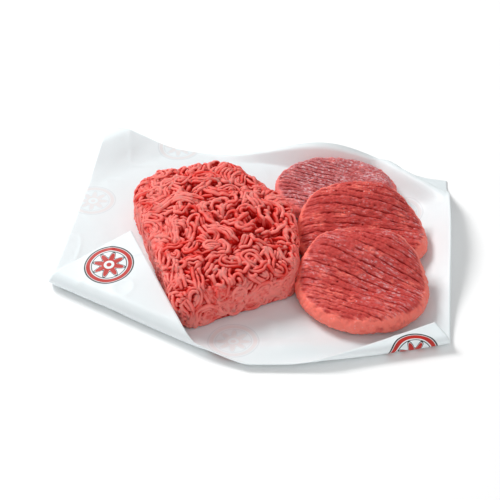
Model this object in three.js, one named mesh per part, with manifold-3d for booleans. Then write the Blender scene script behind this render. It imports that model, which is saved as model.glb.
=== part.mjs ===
// Minced beef and three beef patties on a sheet of butcher's paper, in millimetres, +Z up.
// The origin is on the underside of the sheet, where it lies flat on the table.
// +Y points away from the side that the pack is seen from.
import * as THREE from 'three';
import { mergeVertices } from 'three/addons/utils/BufferGeometryUtils.js';
import Module from 'manifold-3d';

const wasm = await Module();
wasm.setup();

const DEG = Math.PI / 180;
const GAP = 0.3; // between pieces that lie on each other
const point = (x, y) => new THREE.Vector2(x, y);

// The sheet, cut flat: its corners before the bends lift and fold them. The near edge dips between
// nearBend and nearMid, because the left flap rolls over wider there than its bend does.
const PAPER_THICK = 0.5;
const PAPER = {
  nearLeft: point(-159, -123),
  nearBend: point(-40, -114.5),
  nearMid: point(-4, -127),
  nearRight: point(137, -129),
  farRight: point(163, 88),
  farLeft: point(-125, 150),
};

// A bend turns the paper up beyond a line. The line goes through a point, heading gives the way out
// to the corner, and the profile is a chain of arcs: each has its length and its slope at the end.
const BENDS = [
  { at: point(-73, -66), heading: 239, profile: [[14, 8], [22, 172], [90, 170]] },
  { at: point(80, -107.5), heading: -78.5, profile: [[8, 16], [12, 174], [40, 172]] },
  { at: point(-92, 106), heading: 128, profile: [[22, 30], [14, 30], [18, -40], [40, -62]] },
];
const CREASE_TURN = 30; // widest turn, in degrees, between two creases of a bend

// The far and right edges stand up in waves that die out along the edge, and the far right corner
// lies low again behind a ridge
const FAR_WAVE = { height: 24, run: 6, power: 1.3, middle: 66, spread: 56 };
const RIGHT_WAVE = { height: 20, run: 24, power: 1.5, middle: 14, spread: 70 };
const RIDGE = { at: point(137, 72), heading: 44, height: 14, reach: 8, drop: 24 };
const WAVE_CELL = 21; // size of the mesh's cells across the sheet
const WAVE_CUTS = [0.25, 0.6, 1]; // shares of a wave's run where the mesh is cut too
const RIDGE_CUTS = [-2, -1, 0, 1, 2]; // the same for the ridge, as shares of its reach
const SAME_POINT = 0.02; // points of the flat sheet that are closer than this are one

// The minced beef: a pressed block, with its plan as a rounded outline
const MINCE_PLAN = [
  { at: point(-50, -93), radius: 12 },
  { at: point(36, -53), radius: 22 },
  { at: point(34, 22), radius: 34 },
  { at: point(-16, 79), radius: 26 },
  { at: point(-99, 58), radius: 30 },
];
const MINCE = { base: PAPER_THICK + GAP, height: 30, rim: 8, dome: 7, domeRun: 34, foot: 2 };
const CORNER_STEPS = 7; // points on each rounded corner of the plan
const RIM_RINGS = [90, 60, 30]; // slopes, in degrees, of the mesh's rings round the rim
const TOP_RINGS = [1, 0.72, 0.42]; // sizes of its rings on the top

// Strands of mince that lie on the block's top and hang over its rim
const STRAND = { radius: 1.9, sides: 4, steps: 5, length: 25, pitch: 14.2, arch: 1.9, sink: 2 };
const CURL = { least: 1.2, most: 3.8 }; // radians that a strand turns through
const SWIRL = { x: 21, y: 17, turn: 2.3, jitter: 1.1 }; // how their direction drifts over the top
const STRAND_FIELD = { left: -110, right: 60, near: -110, far: 100 }; // where they may start
const STRAND_SEED = 11;
const FINEST = 0.35; // details of the fused strands that are smaller than this are dropped
// The walls that face these ways, in degrees, are bare: two are pressed smooth, one touches a patty
const BARE_WALLS = { near: -60, left: 195, right: 0 };
const BARE_SPREAD = 50; // degrees to either side

// The patties: pressed ovals with parallel ridges, each laid on the edge of the one behind it
const PATTY = { thick: 18, ridge: 0.9, pitch: 5.6, rimPower: 8 };
// The middle patty is pressed out towards the mince: the way on its unit circle, and the share
const BULGE = { way: 215, out: 0.14, spread: 38 };
const PATTIES = [
  { name: 'patty_far', at: point(69, 61.5), long: 49, short: 40.5, turn: -8, ridges: -24 },
  { name: 'patty_middle', at: point(87, 4), long: 48, short: 39, turn: -8, ridges: -4, bulge: BULGE },
  { name: 'patty_near', at: point(81, -56), long: 47.5, short: 42.5, turn: -8, ridges: -24 },
];
const DRAPE = { run: 34, over: 7 }; // a patty rises from this far outside a lower one to this far inside
const ACROSS = [-1, -0.97, -0.86, -0.45, 0, 0.45, 0.86, 0.97, 1]; // columns of a patty's mesh
const RIM_ROWS = [0.94, 0.985]; // rows of a patty's mesh beside the ridges
const RIDGE_FADE = 0.12; // share of a patty's radius over which its ridges die out at the rim

const MINCE_RED = new THREE.MeshStandardMaterial({ color: 0xd4534f, roughness: 0.5, metalness: 0 });
const PATTY_RED = new THREE.MeshStandardMaterial({ color: 0xb23438, roughness: 0.5, metalness: 0 });
const PAPER_WHITE = new THREE.MeshStandardMaterial({ color: 0xf2f3f5, roughness: 0.6, metalness: 0 });

const clamp01 = (t) => Math.min(1, Math.max(0, t));
const smoothstep = (t) => clamp01(t) ** 2 * (3 - 2 * clamp01(t));
const bell = (t) => Math.exp(-t * t);
const heading = (degrees) => point(Math.cos(degrees * DEG), Math.sin(degrees * DEG));

// A repeatable source of numbers from 0 to 1
function randomSource(seed) {
  let state = seed;
  return () => {
    state = (state * 1664525 + 1013904223) % 4294967296;
    return state / 4294967296;
  };
}

function meshOf(name, geometry, material) {
  geometry.computeVertexNormals();
  const mesh = new THREE.Mesh(geometry, material);
  mesh.name = name;
  return mesh;
}

function indexed(points, index) {
  const geometry = new THREE.BufferGeometry().setFromPoints(points);
  geometry.setIndex(index);
  return geometry;
}

// Where a chain of arcs ends up after a length of it: how far out, and how high
function alongProfile(profile, length) {
  const end = { out: 0, up: 0 };
  let slope = 0;
  let left = length;
  for (const [arcLength, degrees] of profile) {
    const part = Math.min(left, arcLength);
    const turn = (degrees * DEG - slope) * (part / arcLength);
    const chord = Math.abs(turn) < 1e-6 ? part : (2 * part * Math.sin(turn / 2)) / turn;
    end.out += chord * Math.cos(slope + turn / 2);
    end.up += chord * Math.sin(slope + turn / 2);
    slope += turn;
    left -= part;
  }
  return end;
}

// How far a point of the sheet lies inside the edge between two corners
function inset(p, from, to) {
  const along = to.clone().sub(from).normalize();
  return along.cross(p.clone().sub(from));
}

// Height of an edge's wave, by the place along the edge and the distance from it
function waveAt(wave, place, distance) {
  const along = bell((place - wave.middle) / wave.spread);
  return wave.height * along * clamp01(1 - distance / wave.run) ** wave.power;
}

// Height of the sheet before its corners are bent
function sheetHeight(p) {
  const right = waveAt(RIGHT_WAVE, p.y, inset(p, PAPER.nearRight, PAPER.farRight));
  const far = waveAt(FAR_WAVE, p.x, inset(p, PAPER.farRight, PAPER.farLeft));
  const beyond = p.clone().sub(RIDGE.at).dot(heading(RIDGE.heading));
  const ridge = RIDGE.height * bell(beyond / RIDGE.reach);
  const joined = (right ** 4 + far ** 4) ** 0.25;
  return joined * (1 - smoothstep(beyond / RIDGE.drop)) + ridge * clamp01(1 - joined / RIDGE.height);
}

// The place in the laid sheet of a point of the flat one
function layPaper(p) {
  const laid = new THREE.Vector3(p.x, p.y, sheetHeight(p));
  for (const bend of BENDS) {
    const out = heading(bend.heading);
    const beyond = p.clone().sub(bend.at).dot(out);
    if (beyond > 0) {
      const end = alongProfile(bend.profile, beyond);
      laid.x += out.x * (end.out - beyond);
      laid.y += out.y * (end.out - beyond);
      laid.z += end.up;
    }
  }
  return laid;
}

// The upward normal of the laid sheet, from two short steps on the flat one
function paperNormal(p) {
  const step = 0.01;
  const at = layPaper(p);
  const alongX = layPaper(point(p.x + step, p.y)).sub(at);
  const alongY = layPaper(point(p.x, p.y + step)).sub(at);
  return alongX.cross(alongY).normalize();
}

// Cuts in two every convex polygon that a line through a point crosses
function cutPolygons(polygons, at, normal) {
  return polygons.flatMap((polygon) => {
    const sides = polygon.map((p) => p.clone().sub(at).dot(normal));
    const halves = [[], []];
    polygon.forEach((p, i) => {
      const next = (i + 1) % polygon.length;
      if (sides[i] >= 0) halves[0].push(p);
      if (sides[i] <= 0) halves[1].push(p);
      if (sides[i] * sides[next] < 0) {
        const crossing = p.clone().lerp(polygon[next], sides[i] / (sides[i] - sides[next]));
        halves[0].push(crossing);
        halves[1].push(crossing);
      }
    });
    return halves.filter((half) => half.length > 2);
  });
}

// The lines that the flat sheet is cut along, so that its mesh can follow the bends and waves
function creases() {
  const lines = [];
  for (const bend of BENDS) {
    const out = heading(bend.heading);
    let start = 0;
    let slope = 0;
    for (const [arcLength, degrees] of bend.profile) {
      const steps = Math.max(1, Math.ceil(Math.abs(degrees - slope) / CREASE_TURN));
      for (let i = 0; i < steps; i += 1) {
        const distance = start + (arcLength * i) / steps;
        lines.push([bend.at.clone().addScaledVector(out, distance), out]);
      }
      start += arcLength;
      slope = degrees;
    }
  }
  const { nearRight, farRight, farLeft } = PAPER;
  for (const [from, to, wave] of [[nearRight, farRight, RIGHT_WAVE], [farRight, farLeft, FAR_WAVE]]) {
    const along = to.clone().sub(from).normalize();
    const inward = point(-along.y, along.x);
    WAVE_CUTS.forEach((cut) => {
      lines.push([from.clone().addScaledVector(inward, cut * wave.run), inward]);
    });
    const cells = Math.round(to.distanceTo(from) / WAVE_CELL);
    for (let i = 1; i < cells; i += 1) lines.push([from.clone().lerp(to, i / cells), along]);
  }
  const down = heading(RIDGE.heading);
  RIDGE_CUTS.forEach((cut) => {
    lines.push([RIDGE.at.clone().addScaledVector(down, cut * RIDGE.reach), down]);
  });
  return lines;
}

// The laid sheet: the flat one is cut along its creases, and both faces are laid with the same mesh
function buildPaper() {
  let polygons = [
    [PAPER.nearLeft, PAPER.nearBend, PAPER.farLeft],
    [PAPER.nearBend, PAPER.nearMid, PAPER.nearRight, PAPER.farRight, PAPER.farLeft],
  ];
  creases().forEach(([at, normal]) => {
    polygons = cutPolygons(polygons, at, normal);
  });
  const flat = [];
  const numbers = new Map();
  const numberOf = (p) => {
    const key = `${Math.round(p.x / SAME_POINT)},${Math.round(p.y / SAME_POINT)}`;
    if (!numbers.has(key)) {
      numbers.set(key, flat.length);
      flat.push(p);
    }
    return numbers.get(key);
  };
  const faces = [];
  for (const polygon of polygons) {
    const ids = polygon.map(numberOf).filter((id, i, all) => id !== all[(i + 1) % all.length]);
    for (let i = 2; i < ids.length; i += 1) faces.push([ids[0], ids[i - 1], ids[i]]);
  }
  const lower = flat.map(layPaper);
  const upper = flat.map((p, i) => lower[i].clone().addScaledVector(paperNormal(p), PAPER_THICK));
  const count = flat.length;
  const index = faces.flatMap(([a, b, c]) => [a, c, b, a + count, b + count, c + count]);
  const edges = new Set(faces.flatMap(([a, b, c]) => [`${a},${b}`, `${b},${c}`, `${c},${a}`]));
  for (const edge of edges) {
    const [a, b] = edge.split(',').map(Number);
    if (!edges.has(`${b},${a}`)) index.push(a, b, b + count, a, b + count, a + count);
  }
  return indexed([...lower, ...upper], index);
}

// The rounded plan of the block, as points with their outward normals
function roundedPlan(corners) {
  return corners.flatMap((corner, i) => {
    const before = corners[(i + corners.length - 1) % corners.length].at;
    const after = corners[(i + 1) % corners.length].at;
    const back = before.clone().sub(corner.at).normalize();
    const on = after.clone().sub(corner.at).normalize();
    const half = Math.acos(back.dot(on)) / 2;
    const middle = back.clone().add(on).normalize();
    const centre = corner.at.clone().addScaledVector(middle, corner.radius / Math.sin(half));
    const start = Math.atan2(back.x, -back.y);
    return Array.from({ length: CORNER_STEPS }, (_, step) => {
      const turn = Math.PI - 2 * half;
      const angle = start + (turn * step) / (CORNER_STEPS - 1);
      const normal = point(Math.cos(angle), Math.sin(angle));
      return { at: centre.clone().addScaledVector(normal, corner.radius), normal };
    });
  });
}

const plan = roundedPlan(MINCE_PLAN);

// The nearest point of the plan's outline, its outward normal, and the distance inside it
function nearestEdge(p) {
  let best = { inside: -Infinity };
  let nearest = Infinity;
  plan.forEach((start, i) => {
    const end = plan[(i + 1) % plan.length];
    const along = end.at.clone().sub(start.at);
    const share = clamp01(p.clone().sub(start.at).dot(along) / along.lengthSq());
    const at = start.at.clone().addScaledVector(along, share);
    const distance = at.distanceTo(p);
    if (distance < nearest) {
      nearest = distance;
      const normal = start.normal.clone().lerp(end.normal, share).normalize();
      const inside = -p.clone().sub(at).dot(normal);
      best = { at, normal, inside };
    }
  });
  return best;
}

// A place on the block's skin. The plan is unrolled: a point beyond the rim lies down the wall.
function onMince(p) {
  const { at, normal, inside } = nearestEdge(p);
  const top = MINCE.base + MINCE.height;
  const quarter = (MINCE.rim * Math.PI) / 2;
  const past = MINCE.rim - inside;
  if (past <= 0) {
    const dome = MINCE.dome * smoothstep(-past / MINCE.domeRun);
    return { place: new THREE.Vector3(p.x, p.y, top + dome), normal: new THREE.Vector3(0, 0, 1) };
  }
  const turn = Math.min(past, quarter) / MINCE.rim;
  const drop = MINCE.rim * (1 - Math.cos(turn)) + Math.max(0, past - quarter);
  const plane = at.clone().addScaledVector(normal, MINCE.rim * (Math.sin(turn) - 1));
  return {
    place: new THREE.Vector3(plane.x, plane.y, top - drop),
    normal: new THREE.Vector3(normal.x * Math.sin(turn), normal.y * Math.sin(turn), Math.cos(turn)),
  };
}

// The block without its strands: rings from the foot over the wall and rim to the middle of the top
function minceCore() {
  const ring = (inwards, z) => plan.map(({ at, normal }) => {
    const p = at.clone().addScaledVector(normal, -inwards);
    return new THREE.Vector3(p.x, p.y, z);
  });
  const middle = plan.reduce((sum, { at }) => sum.add(at), point(0, 0)).divideScalar(plan.length);
  const top = MINCE.base + MINCE.height;
  const rings = [ring(MINCE.foot, MINCE.base), ring(0, MINCE.base + MINCE.foot)];
  RIM_RINGS.forEach((degrees) => {
    const turn = degrees * DEG;
    rings.push(ring(MINCE.rim * (1 - Math.sin(turn)), top - MINCE.rim * (1 - Math.cos(turn))));
  });
  TOP_RINGS.forEach((share) => {
    rings.push(plan.map(({ at, normal }) => {
      const p = at.clone().addScaledVector(normal, -MINCE.rim);
      return onMince(middle.clone().lerp(p, share)).place;
    }));
  });
  const count = plan.length;
  const foot = new THREE.Vector3(middle.x, middle.y, MINCE.base);
  const points = [foot, ...rings.flat(), onMince(middle).place];
  const last = points.length - 1;
  const at = (row, i) => 1 + row * count + (i % count);
  const index = [];
  for (let i = 0; i < count; i += 1) {
    index.push(0, at(0, i + 1), at(0, i));
    index.push(at(rings.length - 1, i), at(rings.length - 1, i + 1), last);
    for (let row = 0; row < rings.length - 1; row += 1) {
      index.push(at(row, i), at(row, i + 1), at(row + 1, i + 1));
      index.push(at(row, i), at(row + 1, i + 1), at(row + 1, i));
    }
  }
  return indexed(points, index);
}

// One curled strand: its way over the skin turns steadily, its ends dip into the block
function strandAt(middle, direction, curl) {
  const way = [];
  const p = middle.clone().addScaledVector(heading(direction / DEG), -STRAND.length / 2);
  for (let i = 0; i <= STRAND.steps; i += 1) {
    const share = i / STRAND.steps;
    const { place, normal } = onMince(p);
    const lift = (STRAND.arch + STRAND.sink) * Math.sin(Math.PI * share) - STRAND.sink;
    way.push(place.addScaledVector(normal, lift));
    const angle = direction + curl * (share - 0.5);
    p.add(point(Math.cos(angle), Math.sin(angle)).multiplyScalar(STRAND.length / STRAND.steps));
  }
  const section = new THREE.Shape(Array.from({ length: STRAND.sides }, (_, i) => {
    const angle = (2 * Math.PI * i) / STRAND.sides;
    return point(STRAND.radius * Math.cos(angle), STRAND.radius * Math.sin(angle));
  }));
  const extrudePath = new THREE.CatmullRomCurve3(way);
  return new THREE.ExtrudeGeometry(section, { steps: STRAND.steps, extrudePath });
}

function solidOf(geometry) {
  const bare = geometry.clone();
  bare.deleteAttribute('normal');
  bare.deleteAttribute('uv');
  const merged = mergeVertices(bare, 1e-4);
  return new wasm.Manifold(new wasm.Mesh({
    numProp: 3,
    vertProperties: new Float32Array(merged.attributes.position.array),
    triVerts: new Uint32Array(merged.index.array),
  }));
}

function geometryOf(solid) {
  const { vertProperties, triVerts } = solid.getMesh();
  const geometry = new THREE.BufferGeometry();
  geometry.setAttribute('position', new THREE.BufferAttribute(vertProperties, 3));
  geometry.setIndex(new THREE.BufferAttribute(triVerts, 1));
  return geometry;
}

// The block with strands at the points of a jittered grid over its unrolled skin
function buildMince() {
  const random = randomSource(STRAND_SEED);
  const jitter = () => STRAND.pitch * (random() - 0.5);
  const turnedTo = (normal, way) => normal.dot(heading(way)) > Math.cos(BARE_SPREAD * DEG);
  let block = solidOf(minceCore());
  for (let x = STRAND_FIELD.left; x <= STRAND_FIELD.right; x += STRAND.pitch) {
    for (let y = STRAND_FIELD.near; y <= STRAND_FIELD.far; y += STRAND.pitch) {
      const middle = point(x + jitter(), y + jitter());
      const drift = Math.sin(middle.x / SWIRL.x) + Math.cos(middle.y / SWIRL.y);
      const direction = SWIRL.turn * drift + SWIRL.jitter * (random() - 0.5);
      const side = random() < 0.5 ? -1 : 1;
      const curl = side * (CURL.least + (CURL.most - CURL.least) * random());
      const { inside, normal } = nearestEdge(middle);
      const bare = Object.values(BARE_WALLS).some((way) => turnedTo(normal, way));
      if (inside > (bare ? MINCE.rim : 0)) {
        block = block.add(solidOf(strandAt(middle, direction, curl)));
      }
    }
  }
  const shells = block.simplify(FINEST).decompose().sort((a, b) => b.volume() - a.volume());
  return geometryOf(shells[0]);
}

// How far out a patty's outline lies on its unit circle, by the way there
function outlineReach(patty, unit) {
  if (!patty.bulge) return 1;
  const off = Math.atan2(unit.y, unit.x) / DEG - patty.bulge.way;
  const apart = off - 360 * Math.round(off / 360);
  return 1 + patty.bulge.out * bell(apart / patty.bulge.spread);
}

// How far a point lies inside a patty's oval: 1 in the middle, 0 on the outline
function insideOval(patty, p) {
  const own = p.clone().rotateAround(patty.at, -patty.turn * DEG).sub(patty.at);
  const unit = point(own.x / patty.long, own.y / patty.short);
  return 1 - unit.length() / outlineReach(patty, unit);
}

// The height of what a patty lies on: the paper, and the edge of the patty laid before it
function seatHeight(number, p) {
  const floor = PAPER_THICK + GAP;
  if (number === 0) return floor;
  const lower = PATTIES[number - 1];
  const lowerTop = seatHeight(number - 1, p) + PATTY.thick + PATTY.ridge + GAP;
  const inside = insideOval(lower, p) * lower.short;
  const rise = smoothstep((inside + DRAPE.run) / (DRAPE.run + DRAPE.over));
  return floor + (lowerTop - floor) * rise;
}

// A patty: the rows of its mesh run along its ridges from rim to rim, and both faces meet at the rim
function buildPatty(number) {
  const patty = PATTIES[number];
  const along = heading(patty.ridges);
  const across = heading(patty.ridges + 90);
  const size = point(patty.long, patty.short);
  const asUnit = (p) => p.clone().rotateAround(point(0, 0), -patty.turn * DEG).divide(size);
  const unitAlong = asUnit(along);
  const reach = unitAlong.length() * patty.long * patty.short;
  const slant = unitAlong.dot(asUnit(across)) / unitAlong.lengthSq();
  const halfPitch = PATTY.pitch / 2;
  const ridgeRows = Math.floor((RIM_ROWS[0] * reach) / halfPitch - 0.5);
  const shares = [];
  for (let k = -ridgeRows; k <= ridgeRows; k += 1) shares.push((k * halfPitch) / reach);
  RIM_ROWS.forEach((share) => {
    shares.push(share);
    shares.unshift(-share);
  });
  const vertexAt = (share, side, face) => {
    const offset = share * reach;
    const half = Math.sqrt(Math.max(0, 1 - share * share)) / unitAlong.length();
    const out = across.clone().multiplyScalar(offset);
    out.addScaledVector(along, half * side - slant * offset);
    const p = patty.at.clone().addScaledVector(out, outlineReach(patty, asUnit(out)));
    const radius = Math.hypot(share, side * Math.sqrt(1 - share * share));
    const fullness = Math.sqrt(Math.max(0, 1 - radius ** PATTY.rimPower));
    const wave = PATTY.ridge * Math.cos((2 * Math.PI * offset) / PATTY.pitch);
    const ridge = wave * smoothstep((1 - radius) / RIDGE_FADE);
    const height = seatHeight(number, p) + (PATTY.thick / 2) * (1 + face * fullness);
    return new THREE.Vector3(p.x, p.y, height + (face > 0 ? ridge : 0));
  };
  const points = [vertexAt(-1, 0, 1), vertexAt(1, 0, 1)];
  const add = (vertex) => points.push(vertex) - 1;
  const grid = shares.map((share) => ACROSS.map((side, i) => {
    const upper = add(vertexAt(share, side, 1));
    const onRim = i === 0 || i === ACROSS.length - 1;
    return { 1: upper, '-1': onRim ? upper : add(vertexAt(share, side, -1)) };
  }));
  const index = [];
  const triangle = (a, b, c, face) => index.push(...(face > 0 ? [a, b, c] : [a, c, b]));
  for (const face of [1, -1]) {
    for (let i = 0; i + 1 < ACROSS.length; i += 1) {
      triangle(0, grid[0][i + 1][face], grid[0][i][face], face);
      const last = grid[grid.length - 1];
      triangle(1, last[i][face], last[i + 1][face], face);
      for (let row = 0; row + 1 < grid.length; row += 1) {
        const [a, b] = [grid[row][i][face], grid[row][i + 1][face]];
        const [d, c] = [grid[row + 1][i][face], grid[row + 1][i + 1][face]];
        triangle(a, b, c, face);
        triangle(a, c, d, face);
      }
    }
  }
  return indexed(points, index);
}

const pack = new THREE.Group();
pack.add(meshOf('paper_sheet', buildPaper(), PAPER_WHITE));
pack.add(meshOf('mince_block', buildMince(), MINCE_RED));
PATTIES.forEach((patty, number) => pack.add(meshOf(patty.name, buildPatty(number), PATTY_RED)));

export default pack;
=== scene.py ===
"""Minced beef and three beef patties on a folded sheet of butcher's paper.

The pack's solids come from the frame. Each soft node is replaced here by surfaces worked out with
numpy: the laid sheet, a pressed block under a pile of real strands, and three ridged patties.
Everything is in metres, in the frame's own axes: +Y points away from the camera, +Z up.
"""

from __future__ import annotations

import logging
import math
from dataclasses import dataclass, field
from enum import Enum
from typing import Iterable, Sequence

import bpy
import numpy as np
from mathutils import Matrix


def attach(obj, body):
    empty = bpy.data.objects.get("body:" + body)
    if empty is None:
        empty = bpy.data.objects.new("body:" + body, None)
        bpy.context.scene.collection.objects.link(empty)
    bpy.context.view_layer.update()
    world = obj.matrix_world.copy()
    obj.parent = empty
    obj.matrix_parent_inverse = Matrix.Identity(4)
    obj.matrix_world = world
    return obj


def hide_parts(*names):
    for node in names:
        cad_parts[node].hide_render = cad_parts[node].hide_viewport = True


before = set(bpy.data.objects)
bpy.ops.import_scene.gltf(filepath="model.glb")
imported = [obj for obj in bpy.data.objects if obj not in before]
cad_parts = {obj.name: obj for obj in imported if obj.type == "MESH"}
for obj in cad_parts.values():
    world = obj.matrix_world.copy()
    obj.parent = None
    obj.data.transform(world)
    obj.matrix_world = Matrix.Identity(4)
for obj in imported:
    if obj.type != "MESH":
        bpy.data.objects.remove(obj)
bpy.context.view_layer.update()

MM = 0.001
BODY = "root"
LOG = logging.getLogger("meat_pack")

Array = np.ndarray
Colour = tuple[float, float, float]


# Small formulas that several pieces use


def clamp01(value: Array) -> Array:
    """Limits numbers to the range from 0 to 1."""
    return np.clip(value, 0.0, 1.0)


def smoothstep(value: Array) -> Array:
    """Rises from 0 to 1 as 3t^2 - 2t^3, flat at both ends."""
    t = clamp01(value)
    return t * t * (3 - 2 * t)


def bell(value: Array) -> Array:
    """A bell curve, exp(-t^2)."""
    return np.exp(-value * value)


def heading(degrees: float) -> Array:
    """The unit vector in plan that points degrees round from +X."""
    return np.array([math.cos(math.radians(degrees)), math.sin(math.radians(degrees))])


def unit(vectors: Array) -> Array:
    """The vectors along the last axis, each divided by its own length."""
    return vectors / np.maximum(np.linalg.norm(vectors, axis=-1, keepdims=True), 1e-12)


def on_ground(plan: Array) -> Array:
    """Points of a plan as points in space at height 0, where noise is read for them."""
    return np.concatenate([plan, np.zeros_like(plan[..., :1])], axis=-1)


def linear(red: int, green: int, blue: int) -> Colour:
    """The linear colour of a screen colour given as 0 to 255."""
    def one(value: float) -> float:
        """Undoes the screen's curve for one channel."""
        return value / 12.92 if value <= 0.04045 else ((value + 0.055) / 1.055) ** 2.4
    return one(red / 255), one(green / 255), one(blue / 255)


@dataclass
class Noise:
    """Smooth and crumbly random fields in space, the same in each run.

    Args:
        seed: where the random lattice starts.
        cells: lattice points along each side before it repeats.
    """

    seed: int
    cells: int = 40
    lattice: Array = field(init=False)
    shifts: Array = field(init=False)

    def __post_init__(self) -> None:
        """Draws the lattice's numbers and the places of its crumbs."""
        random = np.random.default_rng(self.seed)
        self.lattice = random.uniform(-1, 1, (self.cells,) * 3)
        self.shifts = random.uniform(0, 1, (self.cells,) * 3 + (3,))

    def smooth(self, points: Array, size: float | Sequence[float], octaves: int = 1) -> Array:
        """Value noise: the eight lattice numbers round a point, mixed by a quintic fade.

        Args:
            points: places, with x, y and z along the last axis.
            size: distance between lattice points, one number or one for each axis.
            octaves: how many layers are added, each half the size and weight of the last.

        Returns:
            A number from about -1 to 1 for each point.
        """
        total = np.zeros(points.shape[:-1])
        weight = 1.0
        for octave in range(octaves):
            place = points / (np.asarray(size) / 2 ** octave) + 17.3 * octave
            low = np.floor(place).astype(int)
            t = place - low
            fade = t * t * t * (t * (6 * t - 15) + 10)
            mixed = np.zeros(points.shape[:-1])
            for corner in np.ndindex(2, 2, 2):
                share = np.prod(np.where(corner, fade, 1 - fade), axis=-1)
                i, j, k = np.moveaxis((low + corner) % self.cells, -1, 0)
                mixed += share * self.lattice[i, j, k]
            total += weight * mixed
            weight /= 2
        return total

    def crumbs(self, points: Array, size: float | Sequence[float]) -> tuple[Array, Array]:
        """Distance to the nearest of the points strewn one in each cell of a grid.

        Args:
            points: places, with x, y and z along the last axis.
            size: side of the grid's cells, one number or one for each axis.

        Returns:
            The distance in cells, and a number from -1 to 1 that belongs to the nearest crumb.
        """
        place = points / np.asarray(size)
        low = np.floor(place).astype(int)
        nearest = np.full(points.shape[:-1], 9.0)
        own = np.zeros(points.shape[:-1])
        for step in np.ndindex(3, 3, 3):
            cell = low + np.array(step) - 1
            i, j, k = np.moveaxis(cell % self.cells, -1, 0)
            distance = np.linalg.norm(cell + self.shifts[i, j, k] - place, axis=-1)
            own = np.where(distance < nearest, self.lattice[i, j, k], own)
            nearest = np.minimum(distance, nearest)
        return nearest, own


# Meshes from grids of points


def grid_quads(rows: int, columns: int, loop: bool = False, start: int = 0) -> Array:
    """The quads of a grid of points that is numbered row by row.

    Args:
        rows: rows of points.
        columns: points in a row.
        loop: whether the last column joins the first.
        start: number of the grid's first point.

    Returns:
        One row of four point numbers for each quad, turned from the row towards the column.
    """
    row, column = np.mgrid[0:rows - 1, 0:columns if loop else columns - 1]
    beside = (column + 1) % columns
    quads = np.stack([row * columns + column, row * columns + beside,
                      (row + 1) * columns + beside, (row + 1) * columns + column], axis=-1)
    return quads.reshape(-1, 4) + start


def fan(pole: int, ring: Array, turned: bool = False) -> Array:
    """Triangles from a pole to each side of a closed ring of points.

    Args:
        pole: number of the pole's point.
        ring: numbers of the ring's points, in order.
        turned: whether the triangles face the other way.

    Returns:
        One row of three point numbers for each triangle.
    """
    after = np.roll(ring, -1)
    pair = (after, ring) if turned else (ring, after)
    return np.stack([np.full_like(ring, pole), *pair], axis=-1)


def grid_normals(points: Array, loop: bool) -> Array:
    """Normals of a grid of points: the cross product of the ways along its rows and columns.

    Args:
        points: points in space by row and column.
        loop: whether the last column joins the first.

    Returns:
        A unit vector for each point.
    """
    down = np.gradient(points, axis=0)
    if loop:
        along = np.roll(points, -1, axis=1) - np.roll(points, 1, axis=1)
    else:
        along = np.gradient(points, axis=1)
    return unit(np.cross(along, down))


def make_piece(name: str, points: Array, faces: Iterable[Array],
               marks: dict[str, Array] | None = None, flat: Array | None = None) -> bpy.types.Object:
    """Puts points and faces into a smooth-shaded mesh object at the origin.

    Args:
        name: the piece's name.
        points: one row for each point, in metres.
        faces: arrays of faces, each array with its own number of points a face.
        marks: numbers from 0 to 1 for each point, by the name of the attribute that keeps them.
        flat: the place of each point on the flat sheet, in metres, kept as the UV map.

    Returns:
        The new object, linked to the scene.
    """
    arrays = [np.asarray(part, dtype=np.int32) for part in faces]
    corners = np.concatenate([part.ravel() for part in arrays])
    sizes = np.concatenate([np.full(len(part), part.shape[1], dtype=np.int32) for part in arrays])
    mesh = bpy.data.meshes.new(name)
    mesh.vertices.add(len(points))
    mesh.vertices.foreach_set("co", np.ascontiguousarray(points, dtype=np.float32).ravel())
    mesh.loops.add(len(corners))
    mesh.loops.foreach_set("vertex_index", corners)
    mesh.polygons.add(len(sizes))
    starts = np.concatenate([[0], np.cumsum(sizes)[:-1]]).astype(np.int32)
    mesh.polygons.foreach_set("loop_start", starts)
    mesh.polygons.foreach_set("use_smooth", np.ones(len(sizes), dtype=bool))
    mesh.update(calc_edges=True)
    for mark, values in (marks or {}).items():
        attribute = mesh.attributes.new(mark, "FLOAT", "POINT")
        attribute.data.foreach_set("value", np.ascontiguousarray(values, dtype=np.float32).ravel())
    if flat is not None:
        layer = mesh.uv_layers.new(name="flat")
        layer.data.foreach_set("uv", flat[corners].astype(np.float32).ravel())
    piece = bpy.data.objects.new(name, mesh)
    bpy.context.scene.collection.objects.link(piece)
    return piece


# Shader nodes


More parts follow.
